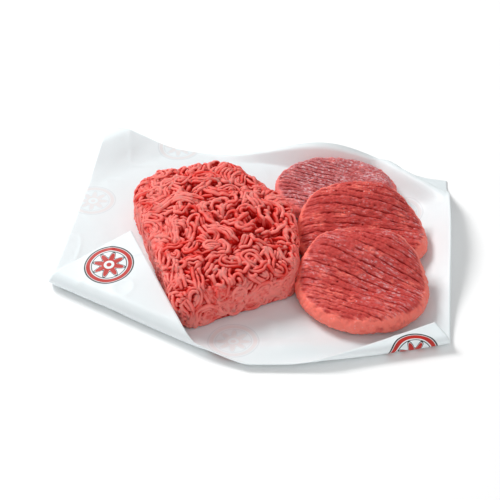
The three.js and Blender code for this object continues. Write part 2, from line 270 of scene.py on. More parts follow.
class Graph:
    """Adds nodes to a material or a node group and links them.

    Args:
        tree: the node tree that is written to.
    """

    def __init__(self, tree: bpy.types.NodeTree) -> None:
        """Keeps the tree and starts with none of its nodes."""
        self.tree = tree
        tree.nodes.clear()

    def add(self, kind: str, values: dict | None = None, **settings: object) -> bpy.types.Node:
        """Adds a node.

        Args:
            kind: the node's type, without the word ShaderNode.
            values: by input name or number, a number or colour to set or an output to link.
            settings: the node's own properties.

        Returns:
            The new node.
        """
        node = self.tree.nodes.new(kind if kind.startswith("Node") else "ShaderNode" + kind)
        for key, value in settings.items():
            setattr(node, key, value)
        for key, value in (values or {}).items():
            if isinstance(value, bpy.types.NodeSocket):
                self.tree.links.new(value, node.inputs[key])
            elif isinstance(value, tuple) and len(value) == 3 and node.inputs[key].type == "RGBA":
                node.inputs[key].default_value = (*value, 1.0)
            else:
                node.inputs[key].default_value = value
        return node

    def math(self, operation: str, *values: object) -> bpy.types.NodeSocket:
        """The output of a Math node on the given numbers or outputs."""
        return self.add("Math", dict(enumerate(values)), operation=operation).outputs[0]

    def mix(self, share: object, first: object, second: object,
            blend: str = "MIX") -> bpy.types.NodeSocket:
        """The colour output of a Mix node from the first colour to the second."""
        node = self.add("Mix", {0: share, 6: first, 7: second}, data_type="RGBA", blend_type=blend)
        return node.outputs[2]

    def ramp(self, value: object, low: float, high: float, to_low: float = 0.0,
             to_high: float = 1.0) -> bpy.types.NodeSocket:
        """The output of a smooth Map Range node."""
        values = {0: value, 1: low, 2: high, 3: to_low, 4: to_high}
        return self.add("MapRange", values, interpolation_type="SMOOTHSTEP").outputs[0]

    def mark(self, name: str) -> bpy.types.NodeSocket:
        """The number that a piece keeps for each point under a name."""
        return self.add("Attribute", attribute_name=name).outputs["Fac"]


def new_group(name: str, inputs: dict[str, float], outputs: dict[str, str]) -> bpy.types.NodeTree:
    """An empty shader node group.

    Args:
        name: the group's name.
        inputs: numbers that it takes, with their usual values.
        outputs: what it puts out, with each socket's type.

    Returns:
        The group's node tree.
    """
    group = bpy.data.node_groups.new(name, "ShaderNodeTree")
    for label, value in inputs.items():
        socket = group.interface.new_socket(label, in_out="INPUT", socket_type="NodeSocketFloat")
        socket.default_value = value
    for label, kind in outputs.items():
        group.interface.new_socket(label, in_out="OUTPUT", socket_type=kind)
    return group


def meat_grain_group() -> bpy.types.NodeTree:
    """The grain of raw beef: a lean mask, specks of fat and a height for the bump.

    Returns:
        A group with the inputs Scale and Fat and the outputs Lean, Specks and Height.
    """
    group = new_group("meat_grain", {"Scale": 1.0, "Fat": 0.5},
                      {"Lean": "NodeSocketFloat", "Specks": "NodeSocketFloat",
                       "Height": "NodeSocketFloat"})
    graph = Graph(group)
    given = graph.add("NodeGroupInput").outputs
    place = graph.add("TexCoord").outputs["Object"]
    scaled = graph.add("VectorMath", {0: place, 3: given["Scale"]}, operation="SCALE").outputs[0]
    broad = graph.add("TexNoise", {"Vector": scaled, "Scale": 90.0, "Detail": 3.0}).outputs[0]
    fine = graph.add("TexNoise", {"Vector": scaled, "Scale": 420.0, "Detail": 4.0,
                                  "Roughness": 0.62}).outputs[0]
    cells = graph.add("TexVoronoi", {"Vector": scaled, "Scale": 560.0, "Randomness": 1.0})
    specks = graph.ramp(cells.outputs["Distance"], 0.42, 0.22)
    chosen = graph.ramp(graph.add("SeparateColor", {0: cells.outputs["Color"]}).outputs[0],
                        0.72, 0.8)
    specks = graph.math("MULTIPLY", specks, chosen)
    patch = graph.ramp(graph.math("ADD", broad, graph.math("MULTIPLY", given["Fat"], 0.3)),
                       0.5, 0.75)
    specks = graph.math("MULTIPLY", specks, patch)
    height = graph.math("ADD", graph.math("MULTIPLY", fine, 0.8),
                        graph.math("MULTIPLY", specks, 0.5))
    graph.add("NodeGroupOutput", {"Lean": broad, "Specks": specks, "Height": height})
    return group


@dataclass(frozen=True)
class MeatFinish:
    """Moist raw beef.

    Args:
        name: the material's name.
        lean: colour of the lean meat in the light.
        bright: colour of paler meat, and of the painted light on the tops of strands.
        deep: the darker red painted as shade in the crevices and under strands.
        fat: colour of the specks of fat.
        fleck: how much of the surface has fat, from 0 to 1.
        grain: how coarse the grain is, as a factor.
        roughness: how matt the surface is.
        gloss: strength of its reflections.
        depth: how far red light spreads inside.
        share: share of the light that spreads inside.
    """

    name: str
    lean: Colour
    bright: Colour
    deep: Colour
    fat: Colour
    fleck: float = 0.5
    grain: float = 1.0
    roughness: float = 0.42
    gloss: float = 0.3
    depth: float = 0.5 * MM
    share: float = 0.3

    def material(self, grain_group: bpy.types.NodeTree) -> bpy.types.Material:
        """Builds the material: shade is painted into crevices as a darker red, tints drift, fat shows
        as specks and streaks.

        Args:
            grain_group: the shared grain of raw beef.

        Returns:
            The material. It reads a piece's marks for painted shade, tint and fat.
        """
        material = bpy.data.materials.new(self.name)
        material.use_nodes = True
        graph = Graph(material.node_tree)
        grain = graph.add("Group", node_tree=grain_group)
        grain.inputs["Scale"].default_value = self.grain
        grain.inputs["Fat"].default_value = self.fleck
        drift = graph.math("MULTIPLY", graph.math("SUBTRACT", grain.outputs["Lean"], 0.5), 0.9)
        tint = graph.math("ADD", graph.mark("tint"), drift)
        colour = graph.mix(graph.ramp(tint, 0.2, 0.9), self.lean, self.bright)
        broken = graph.ramp(grain.outputs["Height"], 0.25, 0.6)
        fat = graph.math("MULTIPLY", graph.mark("fat"), broken)
        fat = graph.math("MAXIMUM", fat, graph.math("MULTIPLY", grain.outputs["Specks"], 0.6))
        colour = graph.mix(fat, colour, self.fat)
        # Painted shade: this mark darkens crevices and undersides towards the deep red.
        painted_shade = graph.mark("painted_shade")
        colour = graph.mix(graph.ramp(painted_shade, 0.05, 1.0), colour, self.deep)
        roughness = graph.ramp(grain.outputs["Height"], 0.1, 0.9, self.roughness - 0.1,
                               self.roughness + 0.16)
        bump = graph.add("Bump", {"Height": grain.outputs["Height"], "Strength": 0.35,
                                  "Distance": 0.4 * MM})
        shader = graph.add("BsdfPrincipled", {
            "Base Color": colour, "Roughness": roughness, "Normal": bump.outputs[0],
            "Subsurface Weight": self.share, "Subsurface Scale": self.depth, "IOR": 1.36,
            "Subsurface Radius": (1.0, 0.25, 0.18), "Specular IOR Level": self.gloss})
        graph.add("OutputMaterial", {0: shader.outputs[0]})
        return material


@dataclass(frozen=True)
class PaperFinish:
    """White waxed paper, printed on its outer side with round badges.

    Args:
        white: the paper's own colour.
        red: the print's main colour.
        ink: the print's outlines.
        pitch: distance between badges across and along the sheet.
        start: place of one badge's middle in the UV map.
        tilt: turn of the rows of badges on the sheet, in degrees.
        badge: radius of a badge.
        ghost: how much of the print shows through on the inner side.
        ghost_red: the print's main colour seen through the paper.
        ghost_ink: the outlines' colour seen through the paper.
        clouding: brightness of the paper's duller clouds, as a share of its own.
    """

    white: Colour = linear(233, 243, 246)
    red: Colour = linear(186, 32, 20)
    ink: Colour = linear(30, 30, 32)
    pitch: tuple[float, float] = (124 * MM, 78 * MM)
    start: tuple[float, float] = (64.5 * MM, 105.5 * MM)
    tilt: float = -3.1
    badge: float = 18.5 * MM
    ghost: float = 0.45
    ghost_red: Colour = linear(226, 214, 212)
    ghost_ink: Colour = linear(208, 213, 217)
    clouding: float = 0.965

    def badge_group(self) -> bpy.types.NodeTree:
        """The badge: a ring between two thin outlines round a rosette of eight petals.

        Each place is moved into a cell of a staggered grid. Its distance r from the cell's middle
        and its angle a give the ring as a band of r, and the petals as r below a wave of 8a.

        Returns:
            A group with the outputs Red and Ink.
        """
        group = new_group("round_badge", {}, {"Red": "NodeSocketFloat", "Ink": "NodeSocketFloat"})
        graph = Graph(group)
        flat = graph.add("UVMap", uv_map="flat").outputs[0]
        turned = graph.add("VectorRotate", {"Vector": flat, "Center": (*self.start, 0.0),
                                            "Angle": -math.radians(self.tilt)},
                           rotation_type="Z_AXIS").outputs[0]
        x, y = graph.add("SeparateXYZ", {0: turned}).outputs[:2]
        row = graph.math("DIVIDE", graph.math("SUBTRACT", y, self.start[1]), self.pitch[1])
        number = graph.math("ROUND", row)
        odd = graph.math("MODULO", graph.math("ABSOLUTE", number), 2.0)
        stagger = graph.math("MULTIPLY", odd, 0.5)
        column = graph.math("DIVIDE", graph.math("SUBTRACT", x, self.start[0]), self.pitch[0])
        column = graph.math("ADD", column, stagger)
        across = graph.math("SUBTRACT", column, graph.math("ROUND", column))
        along = graph.math("SUBTRACT", row, number)
        across = graph.math("MULTIPLY", across, self.pitch[0] / self.badge)
        along = graph.math("MULTIPLY", along, self.pitch[1] / self.badge)
        radius = graph.math("SQRT", graph.math("ADD", graph.math("POWER", across, 2.0),
                                               graph.math("POWER", along, 2.0)))
        angle = graph.math("ARCTAN2", along, across)

        soft = 0.012

        def band(middle: float, half: float) -> bpy.types.NodeSocket:
            """1 within half of the middle radius, with a soft edge."""
            off = graph.math("ABSOLUTE", graph.math("SUBTRACT", radius, middle))
            return graph.ramp(off, half + soft, half - soft)

        wave = graph.math("COSINE", graph.math("MULTIPLY", angle, 8.0))
        reach = graph.math("ADD", graph.math("MULTIPLY", wave, 0.16), 0.46)
        edge = graph.math("SUBTRACT", radius, reach)
        petals = graph.math("MULTIPLY", graph.ramp(edge, soft, -soft), graph.ramp(radius, 0.2, 0.22))
        rim = graph.ramp(graph.math("ABSOLUTE", graph.math("SUBTRACT", edge, 0.05)), 0.036, 0.018)
        red = graph.math("MAXIMUM", graph.math("MAXIMUM", band(0.84, 0.08), petals), band(0.0, 0.1))
        ink = graph.math("MAXIMUM", graph.math("MAXIMUM", band(0.97, 0.028), band(0.7, 0.018)), rim)
        graph.add("NodeGroupOutput", {"Red": red, "Ink": ink})
        return group

    def material(self) -> bpy.types.Material:
        """Builds the paper: printed where the mark outer is 1, with a pale ghost where it is 0.

        Returns:
            The new material.
        """
        material = bpy.data.materials.new("waxed_paper_print")
        material.use_nodes = True
        graph = Graph(material.node_tree)
        badge = graph.add("Group", node_tree=self.badge_group())
        outer = graph.ramp(graph.mark("outer"), 0.4, 0.6)
        strength = graph.ramp(outer, 0.0, 1.0, self.ghost, 1.0)
        place = graph.add("TexCoord").outputs["Object"]
        cloud = graph.add("TexNoise", {"Vector": place, "Scale": 14.0, "Detail": 3.0}).outputs[0]
        fibre = graph.add("TexNoise", {"Vector": place, "Scale": 900.0, "Detail": 3.0}).outputs[0]
        shade = tuple(self.clouding * channel for channel in self.white)
        colour = graph.mix(graph.ramp(cloud, 0.35, 0.7), self.white, shade)
        red = graph.math("MULTIPLY", badge.outputs["Red"], strength)
        ink = graph.math("MULTIPLY", badge.outputs["Ink"], strength)
        colour = graph.mix(red, colour, graph.mix(outer, self.ghost_red, self.red))
        colour = graph.mix(ink, colour, graph.mix(outer, self.ghost_ink, self.ink))
        bump = graph.add("Bump", {"Height": fibre, "Strength": 0.12, "Distance": 0.1 * MM})
        roughness = graph.ramp(cloud, 0.2, 0.8, 0.42, 0.55)
        shader = graph.add("BsdfPrincipled", {
            "Base Color": colour, "Roughness": roughness, "Normal": bump.outputs[0], "IOR": 1.45,
            "Subsurface Weight": 0.45, "Subsurface Scale": 1.5 * MM,
            "Subsurface Radius": (1.0, 1.0, 1.0)})
        graph.add("OutputMaterial", {0: shader.outputs[0]})
        return material


def dress(piece: bpy.types.Object, material: bpy.types.Material,
          nodes: Sequence[str] = ()) -> None:
    """Gives a piece its finish and the body that it rides on, and hides the nodes that it stands for.

    Args:
        piece: the finished piece.
        material: its finish.
        nodes: the pack's nodes that the piece replaces.
    """
    piece.data.materials.append(material)
    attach(piece, BODY)
    if nodes:
        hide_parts(*nodes)
    heights = np.empty(3 * len(piece.data.vertices), np.float32)
    piece.data.vertices.foreach_get("co", heights)
    low, high = heights[2::3].min() / MM, heights[2::3].max() / MM
    LOG.info("%s: %d faces, %.1f to %.1f mm up", piece.name, len(piece.data.polygons), low, high)


# The sheet of paper


@dataclass(frozen=True)
class Bend:
    """A turn of the paper beyond a line, as a chain of arcs.

    Args:
        at: a point on the line, on the flat sheet.
        way: heading from the line out to the corner, in degrees.
        arcs: length of each arc, and its slope in degrees where it ends.
    """

    at: tuple[float, float]
    way: float
    arcs: tuple[tuple[float, float], ...]

    def travel(self, beyond: Array) -> tuple[Array, Array]:
        """How far out and up the paper is at a distance beyond the line.

        Each arc adds its chord, part * sin(x) / x for half its turn x, along its mean slope.

        Args:
            beyond: distance beyond the line on the flat sheet, below 0 before it.

        Returns:
            The distance out from the line in plan, and the height gained.
        """
        out, up = np.zeros_like(beyond), np.zeros_like(beyond)
        slope, left = 0.0, np.maximum(beyond, 0.0)
        for length, degrees in self.arcs:
            part = np.minimum(left, length)
            half = (math.radians(degrees) - slope) * part / length / 2
            chord = part * np.sinc(half / math.pi)
            out += chord * np.cos(slope + half)
            up += chord * np.sin(slope + half)
            slope = math.radians(degrees)
            left = left - part
        return out, up


@dataclass(frozen=True)
class Wave:
    """An edge of the paper that stands up: highest at its middle, and gone a run inside it.

    Args:
        height: height of the edge at the wave's middle.
        run: distance inside the edge over which the paper comes down.
        power: how steeply it comes down.
        middle: place of the wave's middle along the edge.
        spread: how far it reaches along the edge.
    """

    height: float
    run: float
    power: float
    middle: float
    spread: float

    def lift(self, place: Array, distance: Array) -> Array:
        """Height by the place along the edge and the distance inside it: a bell times a power."""
        along = bell((place - self.middle) / self.spread)
        return self.height * along * clamp01(1 - distance / self.run) ** self.power


@dataclass
class PaperSheet:
    """The sheet: an uneven quadrilateral, with two near corners folded over and edges that lift.

    Args:
        near: the near edge's corners on the flat sheet, from left to right.
        far: the far edge's corners, from left to right.
        thick: thickness of the paper.
        bends: the two folds and the hump of the far left corner.
        far_wave, right_wave: how the far and right edges stand up.
        ridge_at, ridge_way, ridge_height, ridge_reach: the ridge across the far right corner.
        ridge_drop: distance beyond the ridge over which the waves come down.
        columns, rows: points of the grid.
        wrinkle: height of the soft buckles.
        clear: distance round the meat over which the buckles come up.
        near_lift, near_run, near_middle, near_spread: how the near edge's middle is raised.
        far_curve, far_curve_at, far_curve_run: how the far edge curves in.
        noise: random field of the buckles.
    """

    near: tuple[tuple[float, float], ...] = (
        (-159 * MM, -123 * MM), (-40 * MM, -114.5 * MM), (-4 * MM, -127 * MM), (137 * MM, -129 * MM))
    far: tuple[tuple[float, float], ...] = ((-125 * MM, 150 * MM), (163 * MM, 88 * MM))
    thick: float = 0.5 * MM
    bends: tuple[Bend, ...] = (
        Bend((-73 * MM, -66 * MM), 239, ((14 * MM, 8), (22 * MM, 172), (90 * MM, 170))),
        Bend((80 * MM, -107.5 * MM), -78.5, ((8 * MM, 16), (12 * MM, 174), (40 * MM, 172))),
        Bend((-92 * MM, 106 * MM), 128,
             ((22 * MM, 30), (14 * MM, 30), (18 * MM, -40), (40 * MM, -62))),
    )
    far_wave: Wave = Wave(24 * MM, 6 * MM, 1.3, 66 * MM, 56 * MM)
    right_wave: Wave = Wave(20 * MM, 24 * MM, 1.5, 14 * MM, 70 * MM)
    ridge_at: tuple[float, float] = (137 * MM, 72 * MM)
    ridge_way: float = 44
    ridge_height: float = 14 * MM
    ridge_reach: float = 8 * MM
    ridge_drop: float = 24 * MM
    columns: int = 232
    rows: int = 188
    wrinkle: float = 0.9 * MM
    clear: float = 22 * MM
    near_lift: float = 3.2 * MM
    near_run: float = 15 * MM
    near_middle: float = 20 * MM
    near_spread: float = 48 * MM
    far_curve: float = 5.5 * MM
    far_curve_at: float = -24 * MM
    far_curve_run: float = 44 * MM
    noise: Noise = field(default_factory=lambda: Noise(5))

    def inset(self, flat: Array, start: Sequence[float], end: Sequence[float]) -> Array:
        """How far points lie inside the edge from start to end, which runs with the sheet on its left.

        Args:
            flat: points of the flat sheet.
            start, end: two points of the edge.

        Returns:
            The distance of each point from the line, below 0 outside it.
        """
        along = unit(np.subtract(end, start))
        rel = flat - np.asarray(start)
        return along[0] * rel[..., 1] - along[1] * rel[..., 0]

    def curve(self, flat: Array) -> Array:
        """How far the far edge curves in from its straight line: a bell along it."""
        return self.far_curve * bell((flat[..., 0] - self.far_curve_at) / self.far_curve_run)

    def height(self, flat: Array) -> Array:
        """Height of the sheet before its corners are bent: two joined waves and a ridge.

        The waves join as the fourth root of the sum of their fourth powers. Beyond the ridge they
        come down again.

        Args:
            flat: points of the flat sheet.

        Returns:
            The height of each point.
        """
        right = self.right_wave.lift(flat[..., 1], self.inset(flat, self.near[3], self.far[1]))
        inside = self.inset(flat, self.far[1], self.far[0]) - self.curve(flat)
        far = self.far_wave.lift(flat[..., 0], inside)
        beyond = (flat - np.asarray(self.ridge_at)) @ heading(self.ridge_way)
        ridge = self.ridge_height * bell(beyond / self.ridge_reach)
        joined = (right ** 4 + far ** 4) ** 0.25
        low = 1 - smoothstep(beyond / self.ridge_drop)
        return joined * low + ridge * clamp01(1 - joined / self.ridge_height)

    def lay(self, flat: Array) -> Array:
        """The place in space of points of the flat sheet.

        Args:
            flat: points of the flat sheet.

        Returns:
            The points after each bend has drawn them in and raised them.
        """
        place = np.concatenate([flat, self.height(flat)[..., None]], axis=-1)
        for bend in self.bends:
            out = heading(bend.way)
            beyond = (flat - np.asarray(bend.at)) @ out
            away, up = bend.travel(beyond)
            place[..., :2] += out * (away - np.maximum(beyond, 0.0))[..., None]
            place[..., 2] += up
        return place

    def normal(self, flat: Array) -> Array:
        """The upward normal of the laid sheet, from two short steps on the flat one.

        Args:
            flat: points of the flat sheet.

        Returns:
            A unit vector for each point.
        """
        step = 0.02 * MM
        at = self.lay(flat)
        along_x = self.lay(flat + np.array([step, 0.0])) - at
        along_y = self.lay(flat + np.array([0.0, step])) - at
        return unit(np.cross(along_x, along_y))

    def flat_grid(self) -> Array:
        """Points of the flat sheet: rows run from the near edge's chain to the far edge.

        Returns:
            Points by row and column, mixed evenly from the two edges.
        """
        near = np.array(self.near)
        share = np.linspace(0, 1, self.columns)
        knots = (near[:, 0] - near[0, 0]) / (near[-1, 0] - near[0, 0])
        low = np.stack([np.interp(share, knots, near[:, axis]) for axis in (0, 1)], axis=-1)
        far = np.array(self.far)
        high = far[0] + (far[1] - far[0]) * share[:, None]
        along = unit(far[0] - far[1])
        high = high + self.curve(high)[:, None] * np.array([-along[1], along[0]])
        up = np.linspace(0, 1, self.rows)[:, None, None]
        return low * (1 - up) + high * up

    def wrinkles(self, flat: Array, keep_clear: Array) -> Array:
        """Soft buckles: raised noise, gone where the meat lies on the sheet, and a lifted near edge.

        Args:
            flat: points of the flat sheet.
            keep_clear: 0 in the calm spots, 1 away from them.

        Returns:
            How far each point is raised.
        """
        spot = on_ground(flat)
        broad = self.noise.smooth(spot, 46 * MM, 2)
        folds = 1 - np.abs(self.noise.smooth(spot + 0.3, 30 * MM, 2))
        buckle = self.wrinkle * keep_clear * (0.5 + 0.5 * broad + 0.5 * clamp01(folds) ** 6)
        # The part of the sheet that juts out past the left stretch of its near edge
        beyond = np.minimum(-self.inset(flat, self.near[0], self.near[1]),
                            -self.inset(flat, self.near[3], self.near[2]))
        middle = bell((flat[..., 0] - self.near_middle) / self.near_spread)
        return buckle + self.near_lift * middle * smoothstep(1 + beyond / self.near_run)

    def build(self, calm: Sequence[tuple[Array, float]], material: bpy.types.Material) -> None:
        """Builds both faces of the sheet on one grid, and joins them round the edge.

        Args:
            calm: middle and reach of each spot without wrinkles, under the meat and elsewhere.
            material: the paper's finish.
        """
        flat = self.flat_grid()
        clear = np.ones(flat.shape[:-1])
        for middle, reach in calm:
            clear *= smoothstep((np.linalg.norm(flat - middle, axis=-1) - reach) / self.clear)
        normal = self.normal(flat)
        lower = self.lay(flat)
        lower[..., 2] += self.wrinkles(flat, clear)
        upper = lower + normal * self.thick
        count = self.rows * self.columns
        quads = grid_quads(self.rows, self.columns)
        number = np.arange(count).reshape(self.rows, self.columns)
        rim = np.concatenate([number[0, :-1], number[:-1, -1], number[-1, :0:-1], number[:0:-1, 0]])
        after = np.roll(rim, -1)
        edge = np.stack([rim, after, after + count, rim + count], axis=-1)
        points = np.concatenate([lower.reshape(-1, 3), upper.reshape(-1, 3)])
        outer = np.concatenate([np.ones(count), np.zeros(count)])
        uv = np.tile(flat.reshape(-1, 2), (2, 1)) + 0.2
        piece = make_piece("butcher_paper", points, [quads[:, ::-1], quads + count, edge],
                           {"outer": outer}, uv)
        dress(piece, material, ["paper_sheet"])


# The minced beef


@dataclass
class MinceSkin:
    """The block's smooth skin, unrolled: a point beyond the rim lies down the wall.

    Args:
        corners: corners of the plan, each with the radius that rounds it.
        base: height of the foot, on the paper.
        height: height of the rim above the foot.
        rim: radius of the rim's quarter round.
        dome, dome_run: how far the top rises inside the rim, and over what distance.
        foot: how far the underside is closed in from the wall.
        corner_steps: points on each rounded corner.
    """

    corners: tuple[tuple[float, float, float], ...] = (
        (-50 * MM, -93 * MM, 12 * MM), (36 * MM, -53 * MM, 22 * MM), (34 * MM, 22 * MM, 34 * MM),
        (-16 * MM, 79 * MM, 26 * MM), (-99 * MM, 58 * MM, 30 * MM))
    base: float = 0.8 * MM
    height: float = 30 * MM
    rim: float = 8 * MM
    dome: float = 7 * MM
    dome_run: float = 34 * MM
    foot: float = 2 * MM
    corner_steps: int = 14

    def __post_init__(self) -> None:
        """Rounds the plan: each corner becomes an arc that touches both of its sides."""
        plan = np.array(self.corners)
        at, normals = [], []
        for i, (x, y, radius) in enumerate(plan):
            back = unit(plan[i - 1, :2] - plan[i, :2])
            on = unit(plan[(i + 1) % len(plan), :2] - plan[i, :2])
            half = math.acos(float(back @ on)) / 2
            centre = np.array([x, y]) + unit(back + on) * radius / math.sin(half)
            start = math.atan2(back[0], -back[1])
            angle = start + np.linspace(0, math.pi - 2 * half, self.corner_steps)
            normal = np.stack([np.cos(angle), np.sin(angle)], axis=-1)
            at.append(centre + radius * normal)
            normals.append(normal)
        self.at = np.concatenate(at)
        self.out = np.concatenate(normals)
        self.middle = self.at.mean(axis=0)

    @property
    def top(self) -> float:
        """Height of the skin at the rim."""
        return self.base + self.height

    @property
    def wall(self) -> float:
        """Unrolled length from the rim's end down to the foot."""
        return self.height - self.rim

    def outline(self, count: int) -> tuple[Array, Array]:
        """Evenly spaced points on the plan's outline.

        Args:
            count: how many points.

        Returns:
            The points and their outward normals.
        """
        ring = np.concatenate([self.at, self.at[:1]])
        out = np.concatenate([self.out, self.out[:1]])
        walked = np.concatenate([[0.0], np.cumsum(np.linalg.norm(np.diff(ring, axis=0), axis=1))])
        share = np.linspace(0, walked[-1], count, endpoint=False)
        at = np.stack([np.interp(share, walked, ring[:, axis]) for axis in (0, 1)], axis=-1)
        normal = np.stack([np.interp(share, walked, out[:, axis]) for axis in (0, 1)], axis=-1)
        return at, unit(normal)

    def nearest(self, plan: Array) -> tuple[Array, Array, Array]:
        """The nearest point of the outline, found side by side.

        Args:
            plan: points of the unrolled skin.

        Returns:
            For each point the nearest point of the outline, its outward normal, and the distance
            inside it.
        """
        best = np.full(plan.shape[:-1], np.inf)
        at, out = np.zeros_like(plan), np.zeros_like(plan)
        for i in range(len(self.at)):
            start, end = self.at[i], self.at[(i + 1) % len(self.at)]
            along = end - start
            share = clamp01(((plan - start) @ along) / (along @ along))[..., None]
            foot = start + share * along
            distance = np.linalg.norm(plan - foot, axis=-1)
            closer = (distance < best)[..., None]
            normal = self.out[i] + share * (self.out[(i + 1) % len(self.at)] - self.out[i])
            at, out = np.where(closer, foot, at), np.where(closer, normal, out)
            best = np.minimum(best, distance)
        out = unit(out)
        return at, out, -((plan - at) * out).sum(axis=-1)

    def lifted(self, plan: Array) -> tuple[Array, Array]:
        """Carries the unrolled skin into space: a domed top, a quarter round of the rim and a wall.

        Past the rim's start a point turns by its distance over the rim's radius, up to a quarter,
        and then goes straight down.

        Args:
            plan: points of the unrolled skin.

        Returns:
            Their places in space, and the skin's normals there.
        """
        at, out, inside = self.nearest(plan)
        past = self.rim - inside
        quarter = self.rim * math.pi / 2
        turn = np.clip(past, 0, quarter) / self.rim
        drop = self.rim * (1 - np.cos(turn)) + np.maximum(0, past - quarter)
        dome = self.dome * smoothstep(-past / self.dome_run)
        over = at + out * (self.rim * (np.sin(turn) - 1))[..., None]
        flat = np.where((past <= 0)[..., None], plan, over)
        place = np.concatenate([flat, (self.top - drop + dome)[..., None]], axis=-1)
        normal = np.concatenate([out * np.sin(turn)[..., None], np.cos(turn)[..., None]], axis=-1)
        return place, normal


class Lie(Enum):
    """How a bundle of strands lies: its turning along the way, as a share of its length."""

    FLOW = "flow"
    HAIRPIN = "hairpin"
    RING = "ring"


@dataclass(frozen=True)
class Bundle:
    """Strands that left the plate side by side and lie as one.

    Args:
        at: middle of the bundle on the unrolled skin.
        way: heading at its middle, in degrees.
        length: length of its middle line.
        turn: how far it turns from end to end, in degrees, to the left where positive.
        count: strands side by side.
        lie: where along it the turning is.
        lift: how far it is held above what it lies on.
        radius: radius of a strand.
    """

    at: tuple[float, float]
    way: float
    length: float
    turn: float
    count: int = 3
    lie: Lie = Lie.FLOW
    lift: float = 0.0
    radius: float = 1.7 * MM


@dataclass(frozen=True)
class Strands:
    """The strands of the heap, from the lowest to the last laid.

    Args:
        ways: points of the unrolled skin along each strand.
        heights: height of its middle above the skin at each of them.
        radii: radius of each strand.
        tints: brightness of each strand, from 0 to 1.
    """

    ways: Array
    heights: Array
    radii: Array
    tints: Array

    def part(self, chosen: slice) -> "Strands":
        """The chosen ones alone."""
        return Strands(self.ways[chosen], self.heights[chosen], self.radii[chosen],
                       self.tints[chosen])

    @classmethod
    def joined(cls, parts: Sequence["Strands"]) -> "Strands":
        """The strands of all the parts, in order."""
        columns = zip(*[(part.ways, part.heights, part.radii, part.tints) for part in parts])
        return cls(*[np.concatenate(column) for column in columns])


@dataclass
class Pile:
    """The height of the strands above the skin, on a grid over the unrolled skin.

    Args:
        skin: the block's skin.
        low, high: corners of the grid.
        cell: side of the grid's cells.
        floor: height of the floor under the first strands.
        bumps: height of that floor's bumps.
    """

    skin: MinceSkin
    low: tuple[float, float] = (-128 * MM, -124 * MM)
    high: tuple[float, float] = (76 * MM, 112 * MM)
    cell: float = 0.5 * MM
    floor: float = -5.5 * MM
    bumps: float = 0.8 * MM

    def __post_init__(self) -> None:
        """Starts with a bumpy floor under the strands to come."""
        size = np.ceil((np.array(self.high) - self.low) / self.cell).astype(int)
        axes = [np.arange(n) * self.cell + start for n, start in zip(size, self.low)]
        self.plan = np.stack(np.meshgrid(*axes, indexing="ij"), axis=-1)
        self.map = self.floor + self.bumps * Noise(3).smooth(on_ground(self.plan), 9 * MM, 2)
        _, self.out, self.inside = self.skin.nearest(self.plan)

    def index(self, plan: Array) -> tuple[Array, Array]:
        """Numbers of the cells that points lie in."""
        cell = np.rint((plan - np.array(self.low)) / self.cell).astype(int)
        limit = np.array(self.map.shape) - 1
        cell = np.clip(cell, 0, limit)
        return cell[..., 0], cell[..., 1]

    def sample(self, grid: Array, plan: Array) -> Array:
        """A grid's value at points, mixed from the four cells round each.

        Args:
            grid: numbers by cell.
            plan: points of the unrolled skin.

        Returns:
            The number at each point.
        """
        last = np.array(self.map.shape) - 1.001
        place = np.clip((plan - np.array(self.low)) / self.cell, 0, last)
        low = place.astype(int)
        t = place - low
        i, j = low[..., 0], low[..., 1]
        near = grid[i, j] * (1 - t[..., 0]) + grid[i + 1, j] * t[..., 0]
        far = grid[i, j + 1] * (1 - t[..., 0]) + grid[i + 1, j + 1] * t[..., 0]
        return near * (1 - t[..., 1]) + far * t[..., 1]

    def blurred(self, grid: Array, reach: float) -> Array:
        """The mean of a grid over a square window, by running sums along both axes.

        Args:
            grid: numbers by cell.
            reach: half the window's side.

        Returns:
            The mean for each cell.
        """
        half = max(1, round(reach / self.cell))
        width = 2 * half + 1
        for axis in (0, 1):
            border = [(half + 1, half) if a == axis else (0, 0) for a in (0, 1)]
            total = np.cumsum(np.pad(grid, border, "edge"), axis=axis)
            grid = (np.take(total, range(width, total.shape[axis]), axis=axis)
                    - np.take(total, range(0, total.shape[axis] - width), axis=axis)) / width
        return grid

    def rest(self, ways: Array, radius: float, soft: float) -> Array:
        """Heights at which strands come to rest: the smoothed ground along each, and most of a radius.

        Args:
            ways: points along each strand, by strand.
            radius: radius of a strand.
            soft: share of the way over which a strand bridges dips.

        Returns:
            The height of the middle of the strand at each point.
        """
        along = unit(np.gradient(ways, axis=1))
        side = np.stack([-along[..., 1], along[..., 0]], axis=-1) * radius * 0.6
        ground = np.maximum.reduce([self.sample(self.map, ways + side * k) for k in (-1, 0, 1)])
        steps = ways.shape[1]
        half = max(1, int(soft * steps))
        weights = np.hanning(2 * half + 1)
        weights /= weights.sum()
        padded = np.pad(ground, ((0, 0), (half, half)), "edge")
        smooth = np.stack([np.convolve(row, weights, "valid") for row in padded])
        return 0.35 * ground + 0.65 * smooth + 0.62 * radius

    def stamp(self, way: Array, heights: Array, radius: float) -> None:
        """Raises the grid to the round top of one strand: height + sqrt(radius^2 - apart^2).

        Args:
            way: points of the unrolled skin along the strand.
            heights: height of its middle at each of them.
            radius: its radius.
        """
        reach = int(math.ceil(radius / self.cell))
        steps = np.stack(np.meshgrid(*[np.arange(-reach, reach + 1)] * 2, indexing="ij"), axis=-1)
        i, j = self.index(way)
        i = np.clip(i[:, None] + steps[..., 0].ravel(), 0, self.map.shape[0] - 1)
        j = np.clip(j[:, None] + steps[..., 1].ravel(), 0, self.map.shape[1] - 1)
        apart = np.linalg.norm(self.plan[i, j] - way[:, None], axis=-1)
        top = heights[:, None] + np.sqrt(np.maximum(radius ** 2 - apart ** 2, 0))
        top = np.where(apart < radius, top, -1.0)
        np.maximum.at(self.map, (i, j), top)


